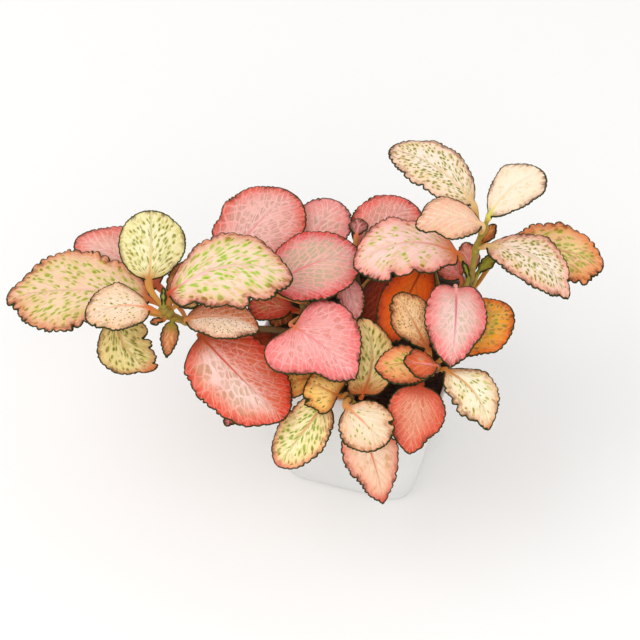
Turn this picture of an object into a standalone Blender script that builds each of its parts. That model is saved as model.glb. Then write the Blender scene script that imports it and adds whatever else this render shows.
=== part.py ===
"""A nerve plant in a square pot, at rest on a flat surface.

The pot stands at the origin with its sides along X and Y. Stems rise from the soil and lean
out over the rim. Every leaf is one piece, its blade and its stalk, and stands on its stem.
"""

import math
from collections import namedtuple

import bmesh
import bpy
from mathutils import Euler, Vector

MM = 0.001
GAP = 0.35 * MM  # clearance between pieces that touch

POT_TOP = 82 * MM  # outer width at the rim
POT_FOOT = 57.5 * MM  # outer width at the foot
POT_HEIGHT = 80 * MM
POT_WALL = 1.6 * MM
POT_CORNER = 10 * MM  # radius of the upright corners
POT_CORNER_STEPS = 5
POT_FOOT_EDGE = 1.5 * MM  # rounding where the walls meet the floor

SOIL_TOP = 71 * MM
SOIL_EDGE = 1.5 * MM  # rounding of the soil's upper edge

STEM_RADIUS = 1.5 * MM
STEM_TIP_SHARE = 0.75  # a stem's radius at its tip, as a share of that at its foot
STEM_SPAN_STEPS = 3

BLADE_THICKNESS = 0.8 * MM
STALK_HALF_WIDTH = 0.9 * MM
TIP_HALF_WIDTH = 0.6 * MM
STALK_ROWS = 4
BLADE_ROWS = 7
BLADE_COLUMNS = 4

# Each stem's route in millimetres, from its foot in the soil to its tip.
STEM_ROUTES = {
    "stem_left": [(-13, -12, 71), (-14, -13, 78), (-21, -20, 90), (-33, -27, 98),
                  (-52, -36, 103), (-67, -41, 109), (-74, -43, 116)],
    "stem_upright": [(30, 9, 71), (31, 10, 78), (36, 14, 90), (40, 17, 104), (41, 19, 122),
                     (44, 20, 137)],
    "stem_rosette": [(20, -14, 71), (21, -15, 78), (28, -21, 89), (38, -28, 99)],
    "stem_front": [(3, -22, 71), (3, -23, 77), (4, -35, 85), (6, -47, 88)],
    "stem_crown": [(-6, -4, 71), (-7, -5, 78), (-13, -9, 92), (-23, -17, 105)],
    "stem_back": [(-4, 12, 71), (-5, 13, 78), (-9, 17, 91), (-13, 21, 102)],
}

Leaf = namedtuple(
    "Leaf",
    "name stem station base azimuth pitch roll length width sweep arch cup belly point look",
)

# station: how far along its stem the stalk leaves it. base: where the blade starts (mm).
# azimuth, pitch, roll: which way the blade points, how far it climbs and how far its left
# side lifts (degrees). length, width (mm). sweep: how far the midrib bows to its left, and
# arch: how far it bows up, as shares of the length. cup: rise of the edges, as a share of
# the half width. belly: where the blade is widest, from its base. point: from 0.5, round,
# to 0.9, sharp.
LEAF_ROWS = {
    "stem_left": (
        ("left_leaf_01", .86, (-81, -36.5, 111.5), 189, -8, -9, 61, 41, -.05, .04, -.10, .5, .6, "speckled"),
        ("left_leaf_02", .98, (-77, -47, 119), 209, 2, -9, 26, 22, -.10, .05, -.10, .50, .55, "pale"),
        ("left_leaf_03", .96, (-83.5, -30, 115.5), 106, 23, 0, 30, 28, -.03, .04, -.10, .52, .50, "cream"),
        ("left_leaf_04", .80, (-82, -24.5, 106), 163, 5, -7, 42, 32, -.04, .04, -.10, .45, .60, "pink"),
        ("left_leaf_05", .90, (-93, -44.5, 108), 329, -34, 4, 28, 24, -.19, .04, -.10, .45, .55, "cream"),
        ("left_leaf_06", .84, (-68, -46, 113), 272, -47, -2, 15, 8, .00, .04, -.10, .40, .80, "tan"),
        ("left_leaf_07", .98, (-71, -39.5, 121.5), 23, 4, 9, 50, 35, .15, .06, -.12, .48, .60, "speckled"),
        ("left_leaf_08", .80, (-64, -41.5, 110), 13, -8, 9, 30, 20, .10, .04, -.10, .50, .60, "pale"),
        ("left_leaf_09", .90, (-73, -33, 111.5), 81, 9, 4, 20, 12, .00, .04, -.10, .50, .60, "tan"),
        ("left_leaf_10", .94, (-72, -47, 113.5), 214, 2, -9, 5, 4, .00, .04, -.10, .50, .60, "tan"),
        ("left_leaf_11", .92, (-68, -38, 114), 17, 0, 9, 8, 5, .00, .04, -.10, .50, .60, "cream"),
        ("left_leaf_12", .58, (-59, -38.5, 98), 331, -12, 6, 50, 37, -.03, .05, -.10, .45, .55, "pink"),
        ("left_leaf_13", .40, (-36, -57, 86), 248, -29, -6, 12, 8, .00, .04, -.10, .50, .60, "pink"),
        ("left_leaf_14", .62, (-59, -6, 107), 68, 7, 6, 45, 37, .02, .05, -.10, .52, .50, "pink"),
        ("left_leaf_15", .30, (-32, -24.5, 91), 222, -4, -4, 17, 14, .00, .04, -.10, .50, .60, "shade"),
        ("left_bud", 1.0, (-72, -44, 120), 105, 54, 0, 7, 3, .00, .04, -.10, .50, .70, "green"),
    ),
    "stem_crown": (
        ("crown_leaf_01", .90, (-36, -16, 112), 40, 4, 8, 40, 34, .03, .06, -.10, .50, .55, "pink"),
        ("crown_leaf_02", .96, (-22, -31, 108), 336, -12, 6, 34, 42, .03, .06, -.10, .28, .80, "pink"),
        ("crown_leaf_03", .80, (-11, 6, 103), 299, -7, 2, 23, 12, .00, .04, -.10, .50, .60, "pink"),
        ("crown_leaf_04", .60, (4, 16, 98), 272, -17, -2, 34, 17, .00, .04, -.10, .50, .60, "shade"),
        ("crown_leaf_05", .75, (-27, -16, 100), 182, -8, 2, 19, 17, .00, .04, -.10, .50, .55, "red"),
        ("crown_leaf_06", .62, (-31.5, -8, 97), 266, -12, 0, 15, 12, .00, .04, -.10, .50, .60, "tan"),
    ),
    "stem_back": (
        ("back_leaf_01", .93, (-29.5, 11, 104), 83, 3, 4, 32, 26, .00, .04, -.10, .52, .50, "pink"),
        ("back_leaf_02", .88, (-10, 25, 98.5), 62, 3, 7, 34, 31, .03, .04, -.10, .55, .50, "pink"),
        ("back_leaf_03", .99, (-11.5, 26, 106), 96, 2, 0, 9, 9, .00, .04, -.10, .50, .60, "pink"),
        ("back_leaf_04", .75, (8, 34, 95), 80, -30, 0, 34, 25, .00, .06, -.10, .50, .55, "pink"),
        ("back_leaf_05", .70, (-26, 30, 94), 124, -30, 0, 36, 28, .05, .06, -.10, .50, .55, "pink"),
    ),
    "stem_upright": (
        ("upright_leaf_01", .92, (36.5, 27, 139), 162, 12, -7, 41, 24, -.09, .05, -.10, .52, .55, "speckled"),
        ("upright_leaf_02", .97, (44.6, 22.4, 139), 46, 26, 8, 28, 20, .10, .04, -.10, .58, .50, "pale"),
        ("upright_leaf_03", .94, (43, 15, 141), 204, 6, -9, 27, 21, -.12, .05, -.10, .50, .60, "pale"),
        ("upright_leaf_04", .82, (46, 17, 127), 344, -13, 8, 39, 23, .15, .05, -.10, .48, .65, "speckled"),
        ("upright_leaf_05", .52, (52, 27, 114), 13, -7, 9, 41, 30, .07, .05, -.10, .50, .55, "orange"),
        ("upright_leaf_06", .78, (43, 23, 122), 56, 44, 9, 9, 6, .00, .04, -.10, .50, .60, "tan"),
        ("upright_leaf_07", .55, (43, 19, 108), 52, 30, 8, 10, 6, .00, .04, -.10, .50, .60, "green"),
        ("upright_leaf_08", .40, (39, 24, 101), 114, 8, -1, 15, 10, .00, .04, -.10, .50, .60, "pink"),
        ("upright_leaf_09", .42, (36, 17, 104), 157, 16, -7, 13, 13, .00, .04, -.10, .50, .60, "pink"),
        ("upright_leaf_10", .62, (33, 20, 115), 210, 4, -9, 44, 30, -.15, .07, -.10, .45, .55, "speckled"),
        ("upright_leaf_11", .46, (37, 3, 113), 281, -9, -1, 37, 26, .02, .05, -.10, .38, .75, "pink"),
        ("upright_leaf_12", .35, (20, 21, 104), 260, -16, -4, 40, 22, .00, .05, -.10, .50, .60, "shade"),
        ("upright_bud", .48, (39.2, 15.5, 107.5), 136, 49, -6, 7, 3, .00, .04, -.10, .50, .70, "green"),
    ),
    "stem_rosette": (
        ("rosette_leaf_01", .92, (41, -19, 100), 55, 9, 7, 32, 25, .03, .05, -.10, .52, .55, "orange"),
        ("rosette_leaf_02", .99, (41.5, -29.5, 100.8), 323, -19, 5, 30, 21, .12, .05, -.10, .48, .8, "cream"),
        ("rosette_leaf_03", .98, (38, -31, 104), 208, 23, -10, 15, 14, .00, .04, -.10, .50, .60, "pink"),
        ("rosette_leaf_04", .95, (36, -31, 99), 194, 5, -9, 23, 19, -.10, .04, -.10, .50, .65, "orange"),
        ("rosette_leaf_05", .90, (32, -22, 102), 137, 25, -5, 26, 18, .00, .04, -.10, .60, .50, "tan"),
        ("rosette_leaf_06", .80, (33, -37, 97), 275, -38, -2, 28, 24, .01, .05, -.10, .38, .75, "red"),
    ),
    "stem_front": (
        ("front_leaf_01", .55, (10.5, -42, 88.5), 106, 17, 0, 34, 20, -.12, .05, -.10, .40, .50, "cream"),
        ("front_leaf_02", .70, (-8, -39.5, 92), 208, -13, -9, 23, 14, .00, .04, -.10, .50, .60, "tan"),
        ("front_leaf_03", .90, (2.5, -50, 95), 172, 10, -5, 14, 26, .00, .04, -.10, .42, .50, "tan"),
        ("front_leaf_04", .99, (7.6, -53.8, 94), 331, -13, 6, 22, 24, .00, .05, -.10, .50, .50, "pale"),
        ("front_leaf_05", .90, (-2, -51, 91), 234, -42, -8, 34, 23, .02, .05, -.10, .46, .55, "cream"),
        ("front_leaf_06", .94, (13, -55, 87), 316, -57, 7, 37, 24, .02, .05, -.10, .35, .85, "orange"),
    ),
}
LEAVES = [Leaf(name, stem, *row) for stem, rows in LEAF_ROWS.items() for name, *row in rows]

# How far a heart-shaped base reaches back beside its stalk (mm).
HEART_BASES = {"crown_leaf_02": 6.5, "upright_leaf_11": 8.0, "front_leaf_03": 2.0,
               "front_leaf_01": 2.0}

LOOKS = {
    "pink": ((0.80, 0.33, 0.31), 0.5),
    "speckled": ((0.78, 0.56, 0.42), 0.5),
    "cream": ((0.75, 0.68, 0.40), 0.5),
    "pale": ((0.85, 0.67, 0.55), 0.5),
    "tan": ((0.62, 0.32, 0.16), 0.5),
    "orange": ((0.80, 0.36, 0.12), 0.5),
    "red": ((0.78, 0.22, 0.14), 0.5),
    "shade": ((0.45, 0.12, 0.04), 0.5),
    "green": ((0.35, 0.38, 0.08), 0.5),
    "stem": ((0.33, 0.24, 0.08), 0.6),
    "soil": ((0.05, 0.03, 0.02), 0.95),
    "pot": ((0.72, 0.72, 0.71), 0.35),
}


def clear_scene():
    for obj in list(bpy.data.objects):
        bpy.data.objects.remove(obj, do_unlink=True)


def new_collection(name):
    collection = bpy.data.collections.new(name)
    bpy.context.scene.collection.children.link(collection)
    return collection


def make_material(name):
    colour, roughness = LOOKS[name]
    material = bpy.data.materials.new(name)
    material.use_nodes = True
    shader = material.node_tree.nodes["Principled BSDF"]
    shader.inputs["Base Color"].default_value = (*colour, 1.0)
    shader.inputs["Roughness"].default_value = roughness
    shader.inputs["Metallic"].default_value = 0.0
    return material


def add_object(name, data, collection, material, parent):
    obj = bpy.data.objects.new(name, data)
    collection.objects.link(obj)
    obj.parent = parent
    data.materials.append(material)
    return obj


def mesh_from(name, bm):
    bmesh.ops.recalc_face_normals(bm, faces=bm.faces)
    mesh = bpy.data.meshes.new(name)
    bm.to_mesh(mesh)
    bm.free()
    return mesh


def tapered_block(foot, top, low, high, corner):
    """A block with square ends of two widths and rounded upright corners."""
    bm = bmesh.new()
    bmesh.ops.create_cube(bm, size=1.0)
    for vert in bm.verts:
        width = top if vert.co.z > 0 else foot
        vert.co = Vector((vert.co.x * width, vert.co.y * width, high if vert.co.z > 0 else low))
    upright = [e for e in bm.edges if (e.verts[0].co.z > low) != (e.verts[1].co.z > low)]
    bmesh.ops.bevel(
        bm, geom=upright, offset=corner, offset_type="OFFSET", segments=POT_CORNER_STEPS,
        profile=0.5, affect="EDGES",
    )
    return bm


def faces_facing(bm, up):
    return [f for f in bm.faces if len(f.verts) > 4 and (f.normal.z > 0) == up]


def round_rim(bm, face, radius):
    bmesh.ops.bevel(
        bm, geom=list(face.edges), offset=radius, offset_type="OFFSET", segments=2,
        profile=0.5, affect="EDGES",
    )


def make_pot(collection, parent):
    bm = tapered_block(POT_FOOT, POT_TOP, 0.0, POT_HEIGHT, POT_CORNER)
    bm.normal_update()
    bmesh.ops.delete(bm, geom=faces_facing(bm, up=True), context="FACES")
    round_rim(bm, faces_facing(bm, up=False)[0], POT_FOOT_EDGE)
    pot = add_object("pot", mesh_from("pot", bm), collection, make_material("pot"), parent)
    shell = pot.modifiers.new("wall", "SOLIDIFY")
    shell.thickness = POT_WALL
    shell.offset = -1.0
    shell.use_even_offset = True

    pot.data.shade_smooth()
    pot.data.set_sharp_from_angle(angle=math.radians(35))
    return pot


def pot_inner_width(height):
    slope = (POT_TOP - POT_FOOT) / POT_HEIGHT
    wall = POT_WALL * math.hypot(1.0, slope / 2)
    return POT_FOOT + slope * height - 2 * wall


def make_soil(collection, parent):
    floor = POT_WALL + GAP
    bm = tapered_block(
        pot_inner_width(floor) - 2 * GAP, pot_inner_width(SOIL_TOP) - 2 * GAP, floor, SOIL_TOP,
        POT_CORNER - POT_WALL,
    )
    bm.normal_update()
    round_rim(bm, faces_facing(bm, up=True)[0], SOIL_EDGE)
    return add_object("soil", mesh_from("soil", bm), collection, make_material("soil"), parent)


def through(a, b, c, d, t):
    """A point between b and c on the smooth curve through a, b, c and d."""
    return 0.5 * (
        2 * b + (c - a) * t + (2 * a - 5 * b + 4 * c - d) * t * t
        + (3 * b - a - 3 * c + d) * t ** 3
    )


def smooth_route(stops):
    """The stem's centre line in metres, with STEM_SPAN_STEPS steps between two stops."""
    stops = [Vector(stop) * MM for stop in stops]
    stops[0] = stops[0] + Vector((0, 0, GAP))
    ends = [2 * stops[0] - stops[1], *stops, 2 * stops[-1] - stops[-2]]
    route = [
        through(*ends[i:i + 4], step / STEM_SPAN_STEPS)
        for i in range(len(stops) - 1)
        for step in range(STEM_SPAN_STEPS)
    ]
    return [*route, stops[-1]]


def stem_share(station):
    """A stem's radius at a station, as a share of that at its foot."""
    return 1.0 + (STEM_TIP_SHARE - 1.0) * station


def make_stem(name, collection, parent):
    route = smooth_route(STEM_ROUTES[name])
    curve = bpy.data.curves.new(name, "CURVE")
    curve.dimensions = "3D"
    curve.bevel_depth = STEM_RADIUS
    curve.bevel_resolution = 2
    curve.use_fill_caps = True
    spline = curve.splines.new("POLY")
    spline.points.add(len(route) - 1)
    for i, (point, place) in enumerate(zip(spline.points, route)):
        point.co = (*place, 1.0)
        point.radius = stem_share(i / (len(route) - 1))
    return add_object(name, curve, collection, make_material("stem"), parent)


def on_stem(name, station):
    """A stem's centre and direction at a station."""
    route = smooth_route(STEM_ROUTES[name])
    place = min(station, 1.0) * (len(route) - 1)
    i = min(int(place), len(route) - 2)
    along = route[i + 1] - route[i]
    return route[i] + along * (place - i), along.normalized()


def half_width(leaf, u):
    """The blade's half width at u, from 0 at its base to 1 at its tip, in metres."""
    rise = leaf.point * leaf.belly / (1 - leaf.belly)
    share = 0.0
    if 0.0 < u < 1.0:
        share = (u / leaf.belly) ** rise * ((1 - u) / (1 - leaf.belly)) ** leaf.point
    least = STALK_HALF_WIDTH + (TIP_HALF_WIDTH - STALK_HALF_WIDTH) * u
    return max(leaf.width * MM / 2 * share, least)


def blade_point(leaf, u, v):
    """A point of the blade in its own frame: X to its tip, Y to its left, Z up from it."""
    length, half = leaf.length * MM, leaf.width * MM / 2
    y = half_width(leaf, u) * v
    bow = 4 * u * (1 - u)
    back = HEART_BASES.get(leaf.name, 0.0) * MM * abs(y) / half * (1 - u) ** 6
    z = leaf.arch * length * bow + leaf.cup * y * y / half
    return Vector((length * u - back, leaf.sweep * length * bow + y, z))


def leaf_turn(leaf):
    angles = (leaf.roll, -leaf.pitch, leaf.azimuth)
    return Euler([math.radians(angle) for angle in angles], "XYZ")


def stalk_start(leaf):
    """Where the stalk leaves the stem, and the direction it leaves in, square to the stem."""
    centre, along = on_stem(leaf.stem, leaf.station)
    reach = Vector(leaf.base) * MM - centre
    out = (reach - along * reach.dot(along)).normalized()
    return centre + out * (STEM_RADIUS * stem_share(leaf.station) + GAP), out


def stalk_rows(leaf):
    """The stalk's edge pairs from the stem to the blade, in the blade's frame."""
    turn = leaf_turn(leaf).to_matrix().transposed()
    start, out = stalk_start(leaf)
    start = turn @ (start - Vector(leaf.base) * MM)
    out = turn @ out
    slope = Vector((1.0, 4 * leaf.sweep, 4 * leaf.arch)).normalized()
    reach = start.length / 3
    stops = (start, start + out * reach, -slope * reach)
    before = slope
    rows, side = [], Vector((0.0, 0.0, 1.0)).cross(slope).normalized()
    for step in reversed(range(STALK_ROWS)):
        t = step / STALK_ROWS
        centre = (
            stops[0] * (1 - t) ** 3 + stops[1] * 3 * t * (1 - t) ** 2 + stops[2] * 3 * t * t * (1 - t)
        )
        ahead = (
            (stops[1] - stops[0]) * 3 * (1 - t) ** 2
            + (stops[2] - stops[1]) * 6 * t * (1 - t)
            - stops[2] * 3 * t * t
        ).normalized()
        side = before.rotation_difference(ahead) @ side
        before = ahead
        rows.insert(0, (centre, side.normalized()))
    return rows


def blade_stations():
    """Rows from the blade's base to its tip, closer together at both ends."""
    return [0.5 - 0.5 * math.cos(math.pi * i / BLADE_ROWS) for i in range(BLADE_ROWS + 1)]


def make_leaf(leaf, collection, parent):
    stalk, stations = stalk_rows(leaf), blade_stations()
    rows = len(stalk) + len(stations)
    bm = bmesh.new()
    bmesh.ops.create_grid(bm, x_segments=rows - 1, y_segments=BLADE_COLUMNS, size=1.0)
    for vert in bm.verts:
        row, v = round((vert.co.x + 1) / 2 * (rows - 1)), vert.co.y
        if row < len(stalk):
            centre, side = stalk[row]
            vert.co = centre + side * STALK_HALF_WIDTH * v
        else:
            vert.co = blade_point(leaf, stations[row - len(stalk)], v)
    obj = add_object(leaf.name, mesh_from(leaf.name, bm), collection, make_material(leaf.look),
                     parent)
    obj.location = Vector(leaf.base) * MM
    obj.rotation_euler = leaf_turn(leaf)
    blade = obj.modifiers.new("thickness", "SOLIDIFY")
    blade.thickness = BLADE_THICKNESS
    blade.offset = 0.0
    obj.data.shade_smooth()
    return obj


def main():
    clear_scene()
    plant = new_collection("potted_nerve_plant")
    root = bpy.data.objects.new("plant_root", None)
    plant.objects.link(root)
    make_pot(plant, root)
    make_soil(plant, root)
    for name in STEM_ROUTES:
        make_stem(name, plant, root)
    for leaf in LEAVES:
        make_leaf(leaf, plant, root)


main()
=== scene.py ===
"""The looks of a nerve plant in a square pot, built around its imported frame.

Every leaf, stem, the soil and the pot get a fine mesh that stands for the frame's plain one.
A leaf's mesh carries its own map of veins, and its material draws the vein net, the specks,
the flushed margin and the dark rim from that map.
"""
import math
from collections import namedtuple

import bmesh
import bpy
import numpy as np
from mathutils import Euler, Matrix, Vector


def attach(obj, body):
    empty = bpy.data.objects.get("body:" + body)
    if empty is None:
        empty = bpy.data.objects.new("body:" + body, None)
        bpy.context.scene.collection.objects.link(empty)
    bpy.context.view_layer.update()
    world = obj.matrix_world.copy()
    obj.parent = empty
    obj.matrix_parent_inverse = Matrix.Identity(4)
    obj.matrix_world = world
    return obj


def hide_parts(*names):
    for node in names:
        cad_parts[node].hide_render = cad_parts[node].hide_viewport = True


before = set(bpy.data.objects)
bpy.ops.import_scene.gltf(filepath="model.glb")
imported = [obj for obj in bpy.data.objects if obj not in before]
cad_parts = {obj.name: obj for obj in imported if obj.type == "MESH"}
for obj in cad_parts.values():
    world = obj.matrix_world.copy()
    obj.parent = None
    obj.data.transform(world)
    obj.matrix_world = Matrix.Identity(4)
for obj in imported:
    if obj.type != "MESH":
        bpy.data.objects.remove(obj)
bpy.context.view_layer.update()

MM = 0.001
SEED = 11

GAP = 0.35 * MM  # how far a stem's foot stands above the soil in the frame
STEM_RADIUS = 1.5 * MM
STEM_TIP_SHARE = 0.75  # a stem's radius at its tip, as a share of that at its foot
STEM_SPAN_STEPS = 3
STALK_HALF_WIDTH = 0.9 * MM
STALK_HALF_DEPTH = 0.75 * MM
STALK_START = 0.6  # where a stalk starts inside its stem, as a share of the stem's radius
WING_WIDTH = 0.9 * MM  # how much a stalk widens, on each side, towards a blade that is at
WING_LEAF = 24  # least this wide (mm)
TIP_HALF_WIDTH = 0.6 * MM

ROW_STEP = 0.42  # distance between two rows of a blade's mesh, in millimetres
COLUMN_STEP = 0.55
STALK_ROWS = 14
BLADE_HALF_DEPTH = 0.22 * MM
MIDRIB_DEPTH = 0.55 * MM
MIDRIB_WIDTH = 0.8 * MM
FIELD_RISE = 0.22 * MM  # how far the blade rises between two side veins
MIDRIB_DIP = 0.30 * MM  # how far the blade sinks along its midrib
WAVE_LENGTH = 13  # the length of one wave of the edge, in millimetres
CUT_FADE = 5  # how fast an edge's cuts fade towards the midrib
HEART_FADE = 6  # how fast a heart-shaped base fades towards the tip
STALK_MARGIN = 9.0  # the distance to an edge that a stalk's points get, in millimetres
RIGHT_SEED = 40.0  # keeps the right half's pattern apart from the left half's
SEED_SPAN = 30

# Each stem's route in millimetres, from its foot in the soil to its tip.
STEM_ROUTES = {
    "stem_left": [(-13, -12, 71), (-14, -13, 78), (-21, -20, 90), (-33, -27, 98),
                  (-52, -36, 103), (-67, -41, 109), (-74, -43, 116)],
    "stem_upright": [(30, 9, 71), (31, 10, 78), (36, 14, 90), (40, 17, 104), (41, 19, 122),
                     (44, 20, 137)],
    "stem_rosette": [(20, -14, 71), (21, -15, 78), (28, -21, 89), (38, -28, 99)],
    "stem_front": [(3, -22, 71), (3, -23, 77), (4, -35, 85), (6, -47, 88)],
    "stem_crown": [(-6, -4, 71), (-7, -5, 78), (-13, -9, 92), (-23, -17, 105)],
    "stem_back": [(-4, 12, 71), (-5, 13, 78), (-9, 17, 91), (-13, 21, 102)],
}

Leaf = namedtuple(
    "Leaf",
    "name stem station base azimuth pitch roll length width sweep arch cup belly point look",
)

# The frame's leaves, with the fields of Leaf from station on. station is the place on its
# stem, from foot to tip. base, length and width are in millimetres, and azimuth, pitch and roll
# in degrees. sweep and arch bend the midrib sideways and up, and cup lifts the edges. belly is
# the place of the greatest width, and point how slender the tip is. look is one of LOOKS.
LEAF_ROWS = {
    "stem_left": (
        ("left_leaf_01", .86, (-81, -36.5, 111.5), 189, -8, -9, 61, 41, -.05, .04, -.1, .5, .6, "speckled"),
        ("left_leaf_02", .98, (-77, -47, 119), 209, 2, -9, 26, 22, -.1, .05, -.1, .5, .55, "pale"),
        ("left_leaf_03", .96, (-83.5, -30, 115.5), 106, 23, 0, 30, 28, -.03, .04, -.1, .52, .5, "cream"),
        ("left_leaf_04", .8, (-82, -24.5, 106), 163, 5, -7, 42, 32, -.04, .04, -.1, .45, .6, "pink"),
        ("left_leaf_05", .9, (-93, -44.5, 108), 329, -34, 4, 28, 24, -.19, .04, -.1, .45, .55, "cream"),
        ("left_leaf_06", .84, (-68, -46, 113), 272, -47, -2, 15, 8, .0, .04, -.1, .4, .8, "tan"),
        ("left_leaf_07", .98, (-71, -39.5, 121.5), 23, 4, 9, 50, 35, .15, .06, -.12, .48, .6, "speckled"),
        ("left_leaf_08", .8, (-64, -41.5, 110), 13, -8, 9, 30, 20, .1, .04, -.1, .5, .6, "pale"),
        ("left_leaf_09", .9, (-73, -33, 111.5), 81, 9, 4, 20, 12, .0, .04, -.1, .5, .6, "tan"),
        ("left_leaf_10", .94, (-72, -47, 113.5), 214, 2, -9, 5, 4, .0, .04, -.1, .5, .6, "tan"),
        ("left_leaf_11", .92, (-68, -38, 114), 17, 0, 9, 8, 5, .0, .04, -.1, .5, .6, "cream"),
        ("left_leaf_12", .58, (-59, -38.5, 98), 331, -12, 6, 50, 37, -.03, .05, -.1, .45, .55, "pink"),
        ("left_leaf_13", .4, (-36, -57, 86), 248, -29, -6, 12, 8, .0, .04, -.1, .5, .6, "pink"),
        ("left_leaf_14", .62, (-59, -6, 107), 68, 7, 6, 45, 37, .02, .05, -.1, .52, .5, "pink"),
        ("left_leaf_15", .3, (-32, -24.5, 91), 222, -4, -4, 17, 14, .0, .04, -.1, .5, .6, "shade"),
        ("left_bud", 1.0, (-72, -44, 120), 105, 54, 0, 7, 3, .0, .04, -.1, .5, .7, "green"),
    ),
    "stem_crown": (
        ("crown_leaf_01", .9, (-36, -16, 112), 40, 4, 8, 40, 34, .03, .06, -.1, .5, .55, "pink"),
        ("crown_leaf_02", .96, (-22, -31, 108), 336, -12, 6, 34, 42, .03, .06, -.1, .28, .8, "pink"),
        ("crown_leaf_03", .8, (-11, 6, 103), 299, -7, 2, 23, 12, .0, .04, -.1, .5, .6, "pink"),
        ("crown_leaf_04", .6, (4, 16, 98), 272, -17, -2, 34, 17, .0, .04, -.1, .5, .6, "shade"),
        ("crown_leaf_05", .75, (-27, -16, 100), 182, -8, 2, 19, 17, .0, .04, -.1, .5, .55, "red"),
        ("crown_leaf_06", .62, (-31.5, -8, 97), 266, -12, 0, 15, 12, .0, .04, -.1, .5, .6, "tan"),
    ),
    "stem_back": (
        ("back_leaf_01", .93, (-29.5, 11, 104), 83, 3, 4, 32, 26, .0, .04, -.1, .52, .5, "pink"),
        ("back_leaf_02", .88, (-10, 25, 98.5), 62, 3, 7, 34, 31, .03, .04, -.1, .55, .5, "pink"),
        ("back_leaf_03", .99, (-11.5, 26, 106), 96, 2, 0, 9, 9, .0, .04, -.1, .5, .6, "pink"),
        ("back_leaf_04", .75, (8, 34, 95), 80, -30, 0, 34, 25, .0, .06, -.1, .5, .55, "pink"),
        ("back_leaf_05", .7, (-26, 30, 94), 124, -30, 0, 36, 28, .05, .06, -.1, .5, .55, "pink"),
    ),
    "stem_upright": (
        ("upright_leaf_01", .92, (36.5, 27, 139), 162, 12, -7, 41, 24, -.09, .05, -.1, .52, .55, "speckled"),
        ("upright_leaf_02", .97, (44.6, 22.4, 139), 46, 26, 8, 28, 20, .1, .04, -.1, .58, .5, "pale"),
        ("upright_leaf_03", .94, (43, 15, 141), 204, 6, -9, 27, 21, -.12, .05, -.1, .5, .6, "pale"),
        ("upright_leaf_04", .82, (46, 17, 127), 344, -13, 8, 39, 23, .15, .05, -.1, .48, .65, "speckled"),
        ("upright_leaf_05", .52, (52, 27, 114), 13, -7, 9, 41, 30, .07, .05, -.1, .5, .55, "orange"),
        ("upright_leaf_06", .78, (43, 23, 122), 56, 44, 9, 9, 6, .0, .04, -.1, .5, .6, "tan"),
        ("upright_leaf_07", .55, (43, 19, 108), 52, 30, 8, 10, 6, .0, .04, -.1, .5, .6, "green"),
        ("upright_leaf_08", .4, (39, 24, 101), 114, 8, -1, 15, 10, .0, .04, -.1, .5, .6, "pink"),
        ("upright_leaf_09", .42, (36, 17, 104), 157, 16, -7, 13, 13, .0, .04, -.1, .5, .6, "pink"),
        ("upright_leaf_10", .62, (33, 20, 115), 210, 4, -9, 44, 30, -.15, .07, -.1, .45, .55, "speckled"),
        ("upright_leaf_11", .46, (37, 3, 113), 281, -9, -1, 37, 26, .02, .05, -.1, .38, .75, "pink"),
        ("upright_leaf_12", .35, (20, 21, 104), 260, -16, -4, 40, 22, .0, .05, -.1, .5, .6, "shade"),
        ("upright_bud", .48, (39.2, 15.5, 107.5), 136, 49, -6, 7, 3, .0, .04, -.1, .5, .7, "green"),
    ),
    "stem_rosette": (
        ("rosette_leaf_01", .92, (41, -19, 100), 55, 9, 7, 32, 25, .03, .05, -.1, .52, .55, "orange"),
        ("rosette_leaf_02", .99, (41.5, -29.5, 100.8), 323, -19, 5, 30, 21, .12, .05, -.1, .48, .8, "cream"),
        ("rosette_leaf_03", .98, (38, -31, 104), 208, 23, -10, 15, 14, .0, .04, -.1, .5, .6, "pink"),
        ("rosette_leaf_04", .95, (36, -31, 99), 194, 5, -9, 23, 19, -.1, .04, -.1, .5, .65, "orange"),
        ("rosette_leaf_05", .9, (32, -22, 102), 137, 25, -5, 26, 18, .0, .04, -.1, .6, .5, "tan"),
        ("rosette_leaf_06", .8, (33, -37, 97), 275, -38, -2, 28, 24, .01, .05, -.1, .38, .75, "red"),
    ),
    "stem_front": (
        ("front_leaf_01", .55, (10.5, -42, 88.5), 106, 17, 0, 34, 20, -.12, .05, -.1, .4, .5, "cream"),
        ("front_leaf_02", .7, (-8, -39.5, 92), 208, -13, -9, 23, 14, .0, .04, -.1, .5, .6, "tan"),
        ("front_leaf_03", .9, (2.5, -50, 95), 172, 10, -5, 14, 26, .0, .04, -.1, .42, .5, "tan"),
        ("front_leaf_04", .99, (7.6, -53.8, 94), 331, -13, 6, 22, 24, .0, .05, -.1, .5, .5, "pale"),
        ("front_leaf_05", .9, (-2, -51, 91), 234, -42, -8, 34, 23, .02, .05, -.1, .46, .55, "cream"),
        ("front_leaf_06", .94, (13, -55, 87), 316, -57, 7, 37, 24, .02, .05, -.1, .35, .85, "orange"),
    ),
}
LEAVES = [Leaf(name, stem, *row) for stem, rows in LEAF_ROWS.items() for name, *row in rows]

# How far a heart-shaped base reaches back beside its stalk (mm).
HEART_BASES = {"crown_leaf_02": 6.5, "upright_leaf_11": 8.0, "front_leaf_03": 2.0,
               "front_leaf_01": 2.0}

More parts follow.
